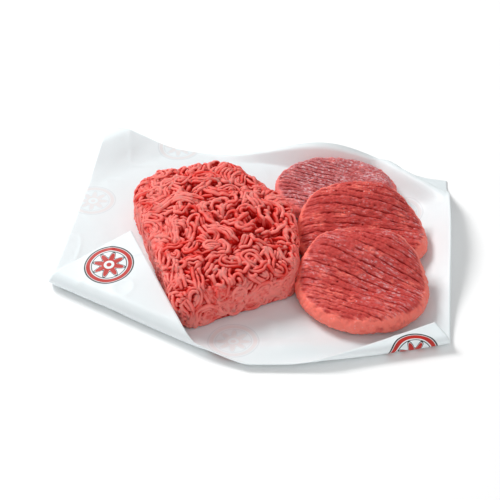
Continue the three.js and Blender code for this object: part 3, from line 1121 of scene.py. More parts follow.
@dataclass
class MinceHeap:
    """The block of mince: a pressed core with a pile of strands on its top and over its rim.

    Args:
        skin: the block's skin.
        seed: start of the random draws.
        samples: points along a strand where it is laid.
        rings, sides: points along and round a strand's mesh.
        pitch: distance between strands side by side.
        target: height of the pile where no more bundles are laid.
        most_bundles: the most bundles that are laid.
        holes: places that stay open, each with its reach.
        core_columns, core_rows, wall_rows: points of the block's mesh.
        summit: the pile's highest point above the table.
        bare_walls: headings of the walls that are pressed flat, each with how much.
        pressed_left, left_run: where the top's pressed left part starts, and how it comes on.
        loose, loose_reach: a place where the strands hang loose.
        wobble: random field of the strands' sways and of the pile's unevenness.
        crumble: random field of the block's relief and tints.
    """

    skin: MinceSkin = field(default_factory=MinceSkin)
    seed: int = 21
    samples: int = 48
    rings: int = 24
    sides: int = 8
    pitch: float = 2.6 * MM
    target: float = -0.9 * MM
    most_bundles: int = 700
    holes: tuple[tuple[float, float, float], ...] = (
        (-51 * MM, -20 * MM, 2.6 * MM), (-42 * MM, 35 * MM, 2.6 * MM), (-15 * MM, -8 * MM, 3 * MM),
        (9 * MM, -13 * MM, 3 * MM), (-6 * MM, -58.5 * MM, 2.6 * MM), (-27 * MM, -5 * MM, 2 * MM),
        (16 * MM, -29 * MM, 2.2 * MM), (-61 * MM, -45 * MM, 2 * MM), (1.5 * MM, -1 * MM, 2 * MM),
        (-24 * MM, -78 * MM, 2.6 * MM))
    core_columns: int = 600
    core_rows: int = 78
    wall_rows: int = 46
    summit: float = 41.6 * MM
    bare_walls: tuple[tuple[float, float], ...] = ((-63, 1.0), (197, 1.0), (0, 1.0), (41, 0.7))
    pressed_left: float = -48 * MM
    left_run: float = 20 * MM
    loose: tuple[float, float] = (-51 * MM, -84 * MM)
    loose_reach: float = 20 * MM
    wobble: Noise = field(default_factory=lambda: Noise(14))
    crumble: Noise = field(default_factory=lambda: Noise(8))

    def pressed(self, plan: Array) -> Array:
        """How far the strands are pressed flat.

        It is 1 on the bare walls and their ragged rims, part of it on the other walls and on the
        left third of the top, and less where the strands hang loose.

        Args:
            plan: points of the unrolled skin.

        Returns:
            A number from 0 to 1 for each point.
        """
        _, out, inside = self.skin.nearest(plan)
        facing = np.degrees(np.arctan2(out[..., 1], out[..., 0]))
        bare = np.zeros(facing.shape)
        for way, weight in self.bare_walls:
            turned = np.abs((facing - way + 180) % 360 - 180)
            bare = np.maximum(bare, weight * smoothstep((62 - turned) / 24))
        ragged = 8 * MM + 12 * MM * self.wobble.smooth(on_ground(plan) + 0.9, 13 * MM, 2)
        rim = bare * smoothstep((ragged - inside) / (9 * MM))
        wall = 0.8 * smoothstep((3 * MM - inside) / (9 * MM))
        left = 0.62 * smoothstep((self.pressed_left - plan[..., 0]) / self.left_run)
        loose = bell(np.linalg.norm(plan - np.array(self.loose), axis=-1) / self.loose_reach)
        return np.maximum(np.maximum(rim, wall), left) * (1 - 0.8 * loose)

    def settled(self, heights: Array, plan: Array) -> Array:
        """Heights under a soft ceiling, c(1 - exp(-h/c)), and drawn to a sunk level where pressed.

        The ceiling c rolls with broad noise, and leaves the strands under the heap's full height.

        Args:
            heights: heights of the strands' middles above the skin.
            plan: where they are on the unrolled skin.

        Returns:
            The settled heights.
        """
        place, _ = self.skin.lifted(plan)
        rolling = 2.6 * MM + 2.4 * MM * self.wobble.smooth(on_ground(plan) + 1.7, 30 * MM)
        thickest = 1.8 * MM
        ceiling = np.minimum(rolling, self.summit - thickest - place[..., 2])
        ceiling = np.maximum(ceiling, 0.7 * MM)
        bent = ceiling * (1 - np.exp(-np.maximum(heights, 0) / ceiling))
        soft = np.where(heights > 0, bent, heights)
        press = self.pressed(plan)
        sunk = -0.7 * MM - 0.5 * MM * smoothstep((press - 0.8) / 0.2)
        return soft * (1 - press) + sunk * press

    def grain(self, plan: Array) -> Array:
        """Direction of the strands over the skin, in degrees: a sum of three waves."""
        x, y = plan[..., 0] / MM, plan[..., 1] / MM
        waves = 70 * np.sin(x / 19 + 0.6) + 60 * np.cos(y / 15 - 0.4) + 25 * np.sin((x + y) / 11)
        return waves - 20

    def features(self) -> list[Bundle]:
        """The bundles that stand out on top, laid last.

        Returns:
            The bundles, in the order in which they are laid.
        """
        return [
            Bundle((-19 * MM, 52 * MM), 84, 30 * MM, -70, 4, Lie.FLOW, 0.8 * MM),
            Bundle((-11 * MM, 47 * MM), 74, 26 * MM, -80, 2, Lie.FLOW, 0.4 * MM),
            Bundle((-33 * MM, 44 * MM), 190, 44 * MM, 290, 2, Lie.RING, 1.2 * MM),
            Bundle((-34 * MM, 38 * MM), 4, 30 * MM, 50, 2, Lie.FLOW, 1.0 * MM),
            Bundle((-15 * MM, 12.5 * MM), 90, 24 * MM, 300, 1, Lie.RING, 1.0 * MM),
            Bundle((-32 * MM, 5 * MM), 30, 19 * MM, -290, 2, Lie.RING, 1.0 * MM),
            Bundle((-43 * MM, 0.5 * MM), 200, 17 * MM, 280, 1, Lie.RING, 0.6 * MM),
            Bundle((-1 * MM, 18 * MM), 10, 32 * MM, -160, 2, Lie.HAIRPIN, 0.8 * MM),
            Bundle((5 * MM, -21 * MM), 80, 21 * MM, 280, 1, Lie.RING, 1.2 * MM),
            Bundle((-27 * MM, -40 * MM), 100, 24 * MM, -190, 2, Lie.HAIRPIN, 0.6 * MM),
            Bundle((-12 * MM, -54 * MM), 95, 40 * MM, -215, 2, Lie.HAIRPIN, 0.8 * MM),
            Bundle((4 * MM, -52 * MM), 60, 42 * MM, -200, 2, Lie.HAIRPIN, 1.0 * MM),
            Bundle((-5 * MM, -60 * MM), 60, 22 * MM, 290, 1, Lie.RING, 1.4 * MM),
            Bundle((14 * MM, -48 * MM), -66, 24 * MM, -80, 2, Lie.FLOW, 0.4 * MM),
            Bundle((-68 * MM, -16 * MM), 205, 30 * MM, -170, 3, Lie.HAIRPIN, 0.3 * MM),
            Bundle((-53 * MM, -62 * MM), -86, 34 * MM, 20, 2, Lie.FLOW, 0.4 * MM),
            Bundle((-36 * MM, -72 * MM), -76, 30 * MM, 26, 3, Lie.FLOW, 0.4 * MM),
            Bundle((-22 * MM, -24 * MM), -30, 27 * MM, -40, 3, Lie.FLOW, 0.4 * MM),
            Bundle((-50 * MM, 16 * MM), -14, 28 * MM, -30, 4, Lie.FLOW, 0.3 * MM),
            Bundle((-60 * MM, 42 * MM), 30, 26 * MM, 50, 3, Lie.FLOW, 0.4 * MM),
        ]

    def ways(self, bundle: Bundle) -> Array:
        """Points along each strand of a bundle.

        The heading along the bundle is its start plus the sum of its turning, which is even, in a
        bell at the middle, or nearly a ring. Strands lie beside the middle line by whole pitches.

        Args:
            bundle: the bundle.

        Returns:
            Points of the unrolled skin by strand and sample.
        """
        share = np.linspace(0, 1, self.samples)
        sharp = {Lie.FLOW: np.ones_like(share), Lie.RING: 1 + 0.5 * share,
                 Lie.HAIRPIN: bell((share - 0.5) / 0.16)}[bundle.lie]
        turned = np.concatenate([[0.0], np.cumsum(sharp[1:])])
        angle = np.radians(bundle.way + bundle.turn * (turned / turned[-1] - 0.5))
        step = bundle.length / (self.samples - 1)
        way = np.cumsum(np.stack([np.cos(angle), np.sin(angle)], axis=-1) * step, axis=0)
        way += np.asarray(bundle.at) - way.mean(axis=0)
        side = np.stack([-np.sin(angle), np.cos(angle)], axis=-1)
        offsets = (np.arange(bundle.count) - (bundle.count - 1) / 2) * self.pitch
        return way[None] + side[None] * offsets[:, None, None]

    def cut(self, ways: Array, ends: Array) -> Array:
        """The same ways, each without its own share at the start and at the end.

        Args:
            ways: points along each strand.
            ends: the shares to take off the start and the end of each.

        Returns:
            As many points along what is left of each.
        """
        share = np.linspace(0, 1, self.samples)
        kept = ends[:, :1] + share * (1 - ends.sum(axis=1, keepdims=True))
        return np.stack([np.stack([np.interp(k, share, way[:, axis]) for axis in (0, 1)], axis=-1)
                         for k, way in zip(kept, ways)])

    def crosses(self, bundle: Bundle) -> bool:
        """Whether a bundle would lie over one of the holes that stay open."""
        ways = self.ways(bundle)
        return any(np.linalg.norm(ways - np.array(hole[:2]), axis=-1).min() < hole[2]
                   for hole in self.holes)

    def drawn(self, near: Array, random: np.random.Generator) -> Bundle:
        """Draws a bundle.

        Args:
            near: the pile's lowest place, near which it lies.
            random: source of the draws.

        Returns:
            A bundle of a random kind, turned with the grain.
        """
        at = near + random.normal(0, 1.5 * MM, 2)
        way = float(self.grain(at)) + random.normal(0, 24)
        kind = random.choice([Lie.FLOW, Lie.HAIRPIN, Lie.RING], p=[0.52, 0.36, 0.12])
        turn, length, count = {
            Lie.FLOW: (random.uniform(-120, 120),
                       random.uniform(17, 34), random.integers(1, 4)),
            Lie.HAIRPIN: (random.choice([-1, 1]) * random.uniform(140, 210),
                          random.uniform(22, 36), random.integers(1, 4)),
            Lie.RING: (random.choice([-1, 1]) * random.uniform(230, 330),
                       random.uniform(18, 28), random.integers(1, 3)),
        }[kind]
        return Bundle(tuple(at), way, length * MM, turn, int(count), kind)

    def lay(self, pile: Pile, bundle: Bundle, random: np.random.Generator) -> Strands:
        """Lets a bundle come to rest, and raises the pile by it.

        Its strands sway by noise, each loses a little at both ends, and the ends dip.

        Args:
            pile: the pile so far.
            bundle: the bundle.
            random: source of the draws.

        Returns:
            The bundle's strands.
        """
        share = np.linspace(0, 1, self.samples)
        ways = self.ways(bundle)
        sway = [self.wobble.smooth(on_ground(ways) + shift, 8 * MM, 2) for shift in (0.0, 0.5)]
        ways = ways + 1.5 * MM * np.stack(sway, axis=-1)
        ways = ways + random.normal(0, 0.3 * MM, (bundle.count, 1, 2))
        ways = self.cut(ways, random.uniform(0, 0.17, (bundle.count, 2)))
        rest = self.settled(pile.rest(ways, bundle.radius, 0.12) + bundle.lift, ways)
        dip = 2.0 * MM * (bell(share / 0.13) + bell((1 - share) / 0.13))
        rest = rest - dip * random.uniform(0.3, 1.2, (bundle.count, 1))
        rest = rest + random.normal(0, 0.25 * MM, (bundle.count, 1))
        tint = random.uniform(0.38, 0.62)
        radii, tints = [], []
        for way, height in zip(ways, rest):
            pile.stamp(way, height, bundle.radius)
            radii.append(bundle.radius * random.uniform(0.86, 1.16))
            tints.append(clamp01(tint + random.normal(0, 0.1)))
        return Strands(ways, rest, np.array(radii), np.array(tints))

    def pile_up(self) -> tuple[Pile, Strands]:
        """Lays bundles where the pile is lowest until it is level, and the marked ones last.

        Rough ground, mounds, the holes and places that were tried in vain count as higher.

        Returns:
            The pile, and its strands.
        """
        random = np.random.default_rng(self.seed)
        pile = Pile(self.skin)
        allowed = pile.inside > -(self.skin.wall - 1.5 * MM)
        rough = random.uniform(0, 1.2 * MM, pile.map.shape)
        mounds = self.wobble.smooth(on_ground(pile.plan) + 2.3, 10 * MM, 2)
        rough += 4.5 * MM * smoothstep((mounds - 0.34) / 0.2)
        for x, y, reach in self.holes:
            apart = np.linalg.norm(pile.plan - np.array([x, y]), axis=-1)
            rough += 9 * MM * bell(apart / reach)
        laid = []
        for _ in range(self.most_bundles):
            level = np.where(allowed, pile.blurred(pile.map, 2.5 * MM) + rough, np.inf)
            lowest = np.unravel_index(np.argmin(level), level.shape)
            if level[lowest] > self.target:
                break
            bundle = self.drawn(pile.plan[lowest], random)
            if self.crosses(bundle):
                apart = np.linalg.norm(pile.plan - np.array(bundle.at), axis=-1)
                rough += 1.5 * MM * bell(apart / (2 * MM))
            else:
                laid.append(self.lay(pile, bundle, random))
        laid += [self.lay(pile, bundle, random) for bundle in self.features()]
        return pile, Strands.joined(laid)

    def tubes(self, strands: Strands) -> tuple[Array, Array, Array, Array]:
        """Carries a round section along each strand's way over the skin.

        A ring is the middle plus radius * (cos a * side + sin a * up), with side and up square to
        the way. The radius follows a half circle at the tips.

        Args:
            strands: the strands.

        Returns:
            Points by strand, ring and side, the two tips of each strand, the points' heights above
            the skin, and their places on the unrolled skin.
        """
        inner = np.linspace(0.08, 0.92, self.rings - 4)
        share = np.concatenate([[0.0, 0.012, 0.038], inner, [0.962, 0.988, 1.0]])
        place = share * (self.samples - 1)
        low = np.minimum(place.astype(int), self.samples - 2)
        t = place - low
        ways, heights, radii = strands.ways, strands.heights, strands.radii
        plan = ways[:, low] * (1 - t)[:, None] + ways[:, low + 1] * t[:, None]
        height = heights[:, low] * (1 - t) + heights[:, low + 1] * t
        on_skin, out = self.skin.lifted(plan)
        middle = on_skin + out * height[..., None]
        middle[..., 2] = np.maximum(middle[..., 2], self.skin.base + radii[:, None])
        along = unit(np.gradient(middle, axis=1))
        side = unit(np.cross(along, out))
        up = np.cross(side, along)
        length = np.linalg.norm(np.diff(middle, axis=1), axis=-1).sum(axis=1)
        end = np.minimum(share, 1 - share) * length[:, None] / radii[:, None]
        lumps = 0.96 + 0.26 * Noise(9).smooth(middle, 4.5 * MM, 2)
        radius = radii[:, None] * np.sqrt(np.maximum(1 - (1 - clamp01(end)) ** 2, 0)) * lumps
        angle = np.linspace(0, 2 * math.pi, self.sides, endpoint=False)
        ring = np.cos(angle)[:, None] * side[:, :, None] + np.sin(angle)[:, None] * up[:, :, None]
        points = middle[:, :, None] + radius[..., None, None] * ring
        above = height[:, :, None] + radius[..., None] * np.sin(angle)
        course = unit(np.gradient(plan, axis=1))
        beside = np.stack([course[..., 1], -course[..., 0]], axis=-1)
        off = radius[..., None] * np.cos(angle)
        spread = plan[:, :, None] + off[..., None] * beside[:, :, None]
        return points[:, 1:-1], middle[:, [0, -1]], above[:, 1:-1], spread[:, 1:-1]

    def tube_faces(self, count: int) -> list[Array]:
        """Faces of tubes that share a mesh: quads round each, and a fan at each tip.

        Args:
            count: how many tubes there are. Their rings come first, and then their tips in pairs.

        Returns:
            The quads and the triangles.
        """
        each = self.rings * self.sides
        starts = np.arange(count)[:, None, None] * each
        quads = grid_quads(self.rings, self.sides, loop=True)[:, ::-1]
        first = np.arange(self.sides)
        caps = np.concatenate([fan(0, first, turned=True), fan(1, first + each - self.sides)])
        poles = np.array([count * each, count * each + 1])
        own_poles = poles[caps[:, :1]] + 2 * np.arange(count)[:, None, None]
        fans = np.where(np.arange(3) == 0, own_poles, caps + starts)
        return [(quads + starts).reshape(-1, 4), fans.reshape(-1, 3)]

    def seam(self, rings: Array) -> Array:
        """How far each side of a ring faces down into the pile, from 0 on top to 1 underneath."""
        angle = np.linspace(0, 2 * math.pi, self.sides, endpoint=False)
        return np.broadcast_to(smoothstep((1 - np.sin(angle)) / 0.75), rings.shape)

    def build_strands(self, pile: Pile, strands: Strands, material: bpy.types.Material) -> None:
        """Builds the strands as closed tubes, in pieces that share one finish.

        Shade is painted where a point lies under the smoothed top of the pile, where it faces down,
        and in the narrow creases of the pile. Light is painted on the strands' tops, tinted paler
        than their undersides.

        Args:
            pile: the finished pile.
            strands: its strands.
            material: the mince's finish.
        """
        ceiling = pile.blurred(pile.map, 3.5 * MM)
        crease = pile.blurred(pile.map, 1.4 * MM) - pile.map
        names = ("mince_strands_under", "mince_strands_between", "mince_strands_top")
        edges = np.linspace(0, len(strands.radii), len(names) + 1).astype(int)
        for name, start, end in zip(names, edges[:-1], edges[1:]):
            part = strands.part(slice(start, end))
            count = len(part.radii)
            points, tips, above, spread = self.tubes(part)
            everything = np.concatenate([points.reshape(-1, 3), tips.reshape(-1, 3)])
            plan = np.concatenate([spread.reshape(-1, 2), tips[..., :2].reshape(-1, 2)])
            height = np.concatenate([above.ravel(), above[:, [0, -1]].mean(axis=-1).ravel()])
            # How far each side faces down places painted shade and painted light on the strands; tips
            # count as 0.6.
            down = np.concatenate([self.seam(above).ravel(), np.full(2 * count, 0.6)])
            under = (pile.sample(ceiling, plan) + 0.1 * MM - height) / (3.4 * MM)
            dips = clamp01(pile.sample(crease, plan) / (0.75 * MM))
            # Painted shade: under the pile's smoothed top, on undersides and in creases.
            painted_shade = clamp01(under + 0.45 * down + 0.5 * dips)
            tint = np.concatenate([np.repeat(part.tints, self.rings * self.sides),
                                   np.repeat(part.tints, 2)])
            # Painted light: tops paler, undersides deeper red, by how far each side faces down.
            tint = clamp01(tint + 0.3 - 0.55 * down)
            marks = {"painted_shade": painted_shade, "tint": tint, "fat": np.zeros(len(everything))}
            piece = make_piece(name, everything, self.tube_faces(count), marks)
            dress(piece, material)

    def core_plan(self) -> Array:
        """Points of the unrolled skin for the block's mesh.

        Returns:
            Points by row and column: up the walls, over the rim and in to the middle.
        """
        at, out = self.skin.outline(self.core_columns)
        rim, middle = self.skin.rim, self.skin.middle
        lowest = -(self.skin.wall + rim * (math.pi / 2 - 1) - self.skin.foot)
        down = np.linspace(lowest, rim, self.wall_rows)
        walls = at[None] - out[None] * down[:, None, None]
        share = np.linspace(1, 0.02, self.core_rows)[1:]
        top = middle + (at - out * rim - middle)[None] * share[:, None, None]
        return np.concatenate([walls, top])

    def broken(self, place: Array) -> tuple[Array, Array, Array, Array]:
        """How the pressed walls are broken up, from noise in space.

        Cracks and seams are where a noise crosses 0, and pits are round some of the crumbs.

        Args:
            place: points of the skin in space.

        Returns:
            Pits, cracks, seams of fused strands, and nearness to the foot, each from 0 to 1.
        """
        noise = self.crumble
        foot = smoothstep((9 * MM - place[..., 2]) / (7 * MM))
        crumb, own = noise.crumbs(place, 5.5 * MM)
        pits = (own > 0.3) * smoothstep((0.24 - crumb) / 0.14)
        line = np.abs(noise.smooth(place + 0.6, 8 * MM, 2))
        cracks = smoothstep((0.09 - line) / 0.06) * (noise.smooth(place + 1.1, 12 * MM) > 0.12)
        cracks = np.maximum(cracks, foot * smoothstep((0.2 - line) / 0.08))
        joint = np.abs(noise.smooth(place + 4.2, (4.5 * MM, 4.5 * MM, 3 * MM), 2))
        seams = smoothstep(1 - joint / 0.16)
        seams = seams * smoothstep(0.45 + 1.3 * noise.smooth(place + 2.1, 15 * MM))
        return pits, cracks, seams, foot

    def build_core(self, pile: Pile, material: bpy.types.Material) -> None:
        """Builds the block under the strands.

        The relief is the pile's own height, sunk under the strands on top and flattened on the
        walls, with lumps, fine crumbs, pits and cracks. Shade is painted into them and under the
        block.

        Args:
            pile: the finished pile.
            material: the mince's finish.
        """
        plan = self.core_plan()
        place, normal = self.skin.lifted(plan)
        relief = pile.sample(pile.map, plan)
        free = 1 - self.pressed(plan)
        noise = self.crumble
        pits, cracks, seams, foot = self.broken(place)
        pressed = (0.5 * MM * noise.smooth(place, 6 * MM, 3)
                   + 0.35 * (np.clip(relief, -3 * MM, 0.4 * MM) + 0.6 * MM)
                   + 0.9 * MM * foot * noise.smooth(place + 5.1, 6 * MM, 2)
                   + 0.36 * MM * noise.smooth(place + 2.7, 2 * MM, 2)
                   - 0.8 * MM * pits - 1.2 * MM * cracks - 0.25 * MM * seams)
        lift = free * (np.minimum(relief, 1.5 * MM) - 1.2 * MM) + (1 - free) * pressed
        points = place + normal * lift[..., None]
        points[..., 2] = np.maximum(points[..., 2], self.skin.base)

        # Painted shade: under the strands' smoothed top, in dips, pits, cracks and seams.
        ceiling = pile.sample(pile.blurred(pile.map, 3.5 * MM), plan)
        under = clamp01((ceiling - relief + 1.4 * MM) / (2.6 * MM))
        around = pile.sample(pile.blurred(pile.map, 2 * MM), plan)
        dips = clamp01((around - relief) / (2 * MM))
        wall = np.maximum.reduce([0.7 * pits, 0.95 * cracks, 0.2 * seams, 0.45 * dips])
        painted_shade = np.maximum(free * under, (1 - free) * wall)
        tint = clamp01(0.35 + 0.35 * (1 - free) + 0.16 * noise.smooth(place, 9 * MM, 2)
                       + 0.25 * noise.smooth(place + 0.5, 1.9 * MM, 2))
        pale = smoothstep((noise.smooth(place + 3.1, 11 * MM, 2) - 0.3) / 0.5)
        specks = clamp01(2.5 * noise.smooth(place + 1.9, 1.3 * MM) - 1.3)
        fat = (1 - free) * (0.01 + 0.26 * pale + 0.45 * specks)

        columns = self.core_columns
        at, out = self.skin.outline(columns)
        closing = np.concatenate([at - out * self.skin.foot,
                                  np.full((columns, 1), self.skin.base)], axis=-1)
        poles = np.array([points[-1].mean(axis=0), [*self.skin.middle, self.skin.base]])
        everything = np.concatenate([closing, points.reshape(-1, 3), poles])
        rows = len(points) + 1
        count = rows * columns
        ring = np.arange(columns)
        faces = [grid_quads(rows, columns, loop=True), fan(count, ring + count - columns),
                 fan(count + 1, ring, turned=True)]

        def closed(values: Array, low: float, ends: tuple[float, float]) -> Array:
            """Adds the ring of the foot and the two poles to a mark."""
            return np.concatenate([np.full(columns, low), values.ravel(), ends])

        # Painted shade on the foot ring and the underside.
        marks = {"painted_shade": closed(painted_shade, 0.8, (1.0, 0.5)), "tint": closed(tint, 0.3, (0.3, 0.3)),
                 "fat": closed(fat, 0.0, (0.0, 0.0))}
        dress(make_piece("mince_core", everything, faces, marks), material,
              ["mince_block"])

    def build(self, material: bpy.types.Material) -> None:
        """Piles up the strands, and builds them and the block under them."""
        pile, strands = self.pile_up()
        LOG.info("%d strands", len(strands.radii))
        self.build_core(pile, material)
        self.build_strands(pile, strands, material)


# The patties


@dataclass(frozen=True)
class Bulge:
    """A patty's outline pushed out: the way on its unit circle, the share, and the spread."""

    way: float
    out: float
    spread: float


@dataclass
class Patty:
    """A pressed oval patty, ridged on top, laid on the edge of the one behind it.

    Args:
        name: the node that it stands for.
        at: middle of its plan.
        long, short: half lengths of its oval.
        ridges: heading of its ridges, in degrees.
        lower: the patty that it lies on the edge of.
        turn: heading of its long axis, in degrees.
        thick: thickness.
        ridge: height of its ridges.
        pitch: distance between its ridges.
        rim_power: how square its section is.
        drape_run, drape_over: how far outside and inside the lower one's edge it climbs.
        floor: height of the paper's top.
        gap: space kept above the lower one.
        columns, rows: points round it, and from the middle of the top to the middle below.
        seed: start of its random fields.
        bloom: how pale and streaky its top is, from 0 to 1.
        lined: where along the ridges they die out, if they do.
        depth: depth of its grooves, as a factor.
        bulge: where its outline is pushed out.
    """

    name: str
    at: tuple[float, float]
    long: float
    short: float
    ridges: float
    lower: "Patty | None" = None
    turn: float = -8
    thick: float = 18 * MM
    ridge: float = 0.9 * MM
    pitch: float = 5.6 * MM
    rim_power: float = 8
    drape_run: float = 34 * MM
    drape_over: float = 7 * MM
    floor: float = 0.8 * MM
    gap: float = 0.3 * MM
    columns: int = 630
    rows: int = 150
    seed: int = 1
    bloom: float = 0.5
    lined: float | None = None
    depth: float = 1.0
    bulge: Bulge | None = None

    def inside(self, plan: Array) -> Array:
        """How far points lie inside the oval, on the oval's own circle.

        Args:
            plan: points of the plan.

        Returns:
            1 in the middle, 0 on the outline and below 0 outside.
        """
        rel = plan - np.asarray(self.at)
        own = np.stack([rel @ heading(self.turn), rel @ heading(self.turn + 90)], axis=-1)
        own = own / np.array([self.long, self.short])
        reach = self.reach(np.arctan2(own[..., 1], own[..., 0]))
        return 1 - np.linalg.norm(own, axis=-1) / reach

    def reach(self, angle: Array) -> Array:
        """How far out the outline lies on the unit circle: 1, and more in a bell at the bulge."""
        if self.bulge is None:
            return np.ones_like(angle)
        apart = (np.degrees(angle) - self.bulge.way + 180) % 360 - 180
        return 1 + self.bulge.out * bell(apart / self.bulge.spread)

    def seat(self, plan: Array) -> Array:
        """Height of what the patty lies on: the paper, and the edge of the patty laid before it.

        Args:
            plan: points of the plan.

        Returns:
            The height of each, which rises as a smoothstep over the lower patty's edge.
        """
        if self.lower is None:
            return np.full(plan.shape[:-1], self.floor)
        lower = self.lower
        top = lower.seat(plan) + lower.thick + lower.ridge + self.gap
        inside = lower.inside(plan) * lower.short
        rise = smoothstep((inside + self.drape_run) / (self.drape_run + self.drape_over))
        return self.floor + (top - self.floor) * rise

    def profile(self) -> tuple[Array, Array]:
        """Radius and height shares of the rows, evenly spaced round the section, wider below.

        The section is radius = sin(a)^(1/4), height = cos(a), which is a rounded slab.

        Returns:
            The radius of each row, from 0 to 1, and its level, from 1 on top to -1 below.
        """
        angle = np.linspace(0, math.pi, 4001)
        radius = np.sin(angle).clip(0) ** (2 / self.rim_power)
        level = np.cos(angle)
        size = 0.5 * (self.long + self.short)
        step = np.hypot(np.diff(radius) * size, np.diff(level) * self.thick / 2)
        walked = np.concatenate([[0.0], np.cumsum(step)])
        under = walked > 0.62 * walked[-1]
        density = np.where(under[1:], 0.2, 1.0)
        walked = np.concatenate([[0.0], np.cumsum(step * density)])
        even = np.linspace(0, walked[-1], self.rows + 2)[1:-1]
        return np.interp(even, walked, radius), np.interp(even, walked, level)

    def ridged(self, noise: Noise, spot: Array) -> tuple[Array, Array]:
        """The ridges: grooves every pitch across them, bent by noise, with hair lines between.

        A groove is a bell of the distance from it, and a ridge is a wave of that distance.

        Args:
            noise: the patty's random field.
            spot: points along and across the ridges, and upward.

        Returns:
            The grooves and the ridges, each from 0 to about 1.
        """
        drift = noise.smooth(spot, (30 * MM, 9 * MM, 1.0), 2)
        sway = noise.smooth(spot, (5 * MM, 4 * MM, 1.0), 2)
        share = (spot[..., 1] + 0.9 * MM * drift + 0.35 * MM * sway) / self.pitch
        apart = np.abs(share - np.floor(share) - 0.5) * self.pitch
        between = np.abs(share - np.floor(share + 0.5)) * self.pitch
        width = (0.5 + 0.16 * noise.smooth(spot + 0.8, (6 * MM, 4 * MM, 1.0))) * MM
        open_line = smoothstep(1.1 + 1.2 * noise.smooth(spot, (8 * MM, 3.6 * MM, 1.0), 2))
        thin_line = smoothstep(0.5 + 1.4 * noise.smooth(spot + 0.6, (10 * MM, 5 * MM, 1.0)))
        groove = bell(apart / width) * open_line * self.depth
        hair = 0.55 * bell(between / (0.35 * MM)) * thin_line
        swell = 0.5 - np.abs(self.pitch / 2 - apart) / self.pitch
        return np.maximum(groove, hair), swell

    def relief(self, points: Array, plan: Array, level: Array) -> tuple[Array, dict[str, Array]]:
        """The pressed meat's relief and marks.

        Ridges and fine strands run one way on the top, and crumbs, lumps and pits break them, with
        shade painted into them. The side is smoother and mottled.

        Args:
            points: the smooth patty's points in space.
            plan: their places in plan.
            level: 1 on top of the section, 0 at its side, -1 below.

        Returns:
            How far each point is raised, and the marks for painted shade, tint and fat.
        """
        noise = Noise(self.seed)
        inside = self.inside(plan)
        rel = plan - np.asarray(self.at)
        run, offset = rel @ heading(self.ridges), rel @ heading(self.ridges + 90)
        spot = np.stack([run, offset, points[..., 2] * 0.5], axis=-1)
        side = smoothstep((0.8 - level) / 0.3)
        edge = smoothstep(1 - inside / 0.06) * (1 - side)
        lined = 1.0 if self.lined is None else smoothstep((self.lined - run) / (22 * MM))
        groove, swell = self.ridged(noise, spot)
        fade = smoothstep(inside / 0.05) * (1 - side) * lined
        groove, swell = fade * groove, fade * swell

        strands = noise.smooth(spot, (4 * MM, 1.2 * MM, 2 * MM), 3)
        mottle = noise.smooth(points + 0.3, 3.6 * MM, 3)
        crumb, own = noise.crumbs(spot, (2.3 * MM, 1.5 * MM, 1.5 * MM))
        lump, _ = noise.crumbs(points, 3.4 * MM)
        coarse = clamp01(0.4 + 1.6 * noise.smooth(points + 0.2, 22 * MM, 2))
        coarse = np.maximum(coarse, 0.7 * edge) * (1 - 0.9 * side)
        pit_near, pit_own = noise.crumbs(points + 0.1, (6 * MM, 5 * MM, 5 * MM))
        pit_near = pit_near + 0.1 * noise.smooth(points + 0.9, 1.6 * MM)
        pit = smoothstep((0.2 - pit_near) / 0.16) * (pit_own > 0.5) * (1 - side)

        lift = (self.ridge * (0.9 * swell - 0.75 * groove) + (0.3 - 0.12 * side) * MM * strands
                - 0.45 * MM * crumb * (1 - 0.6 * side) - 0.9 * MM * coarse * clamp01(lump - 0.25)
                - 0.9 * MM * pit + 0.8 * MM + 0.6 * MM * noise.smooth(points, 11 * MM, 2)
                + 0.5 * MM * side * mottle)
        # Painted shade in grooves, pits and between lumps, crumbs and strands; on the side it also
        # darkens random mottles.
        painted_shade = clamp01(0.64 * groove + 0.7 * pit + 0.6 * coarse * clamp01(lump - 0.5)
                         + (0.5 - 0.38 * side) * clamp01(crumb - 0.55)
                         + (0.4 - 0.3 * side) * clamp01(-strands - 0.05)
                         + 0.12 * side * clamp01(-mottle - 0.3))
        tint = clamp01(0.22 + (0.3 - 0.2 * side) * strands + 0.08 * own * (1 - side) + 0.35 * edge
                       + side * (0.72 + 0.26 * mottle)
                       + 0.2 * noise.smooth(points + 0.7, 12 * MM, 2))
        streak = noise.smooth(spot + 0.4, (3.4 * MM, 0.9 * MM, 2 * MM), 2)
        patch = clamp01(self.bloom + 0.9 * noise.smooth(spot + 0.9, (24 * MM, 14 * MM, 1.0), 2))
        pale = clamp01(0.9 * clamp01((streak - 0.08) * 2.4) + 0.7 * clamp01(self.bloom - 0.5))
        fat = pale * patch * (1 - edge) * (1 - side) * (1 - groove)
        return lift, {"painted_shade": painted_shade, "tint": tint, "fat": fat}

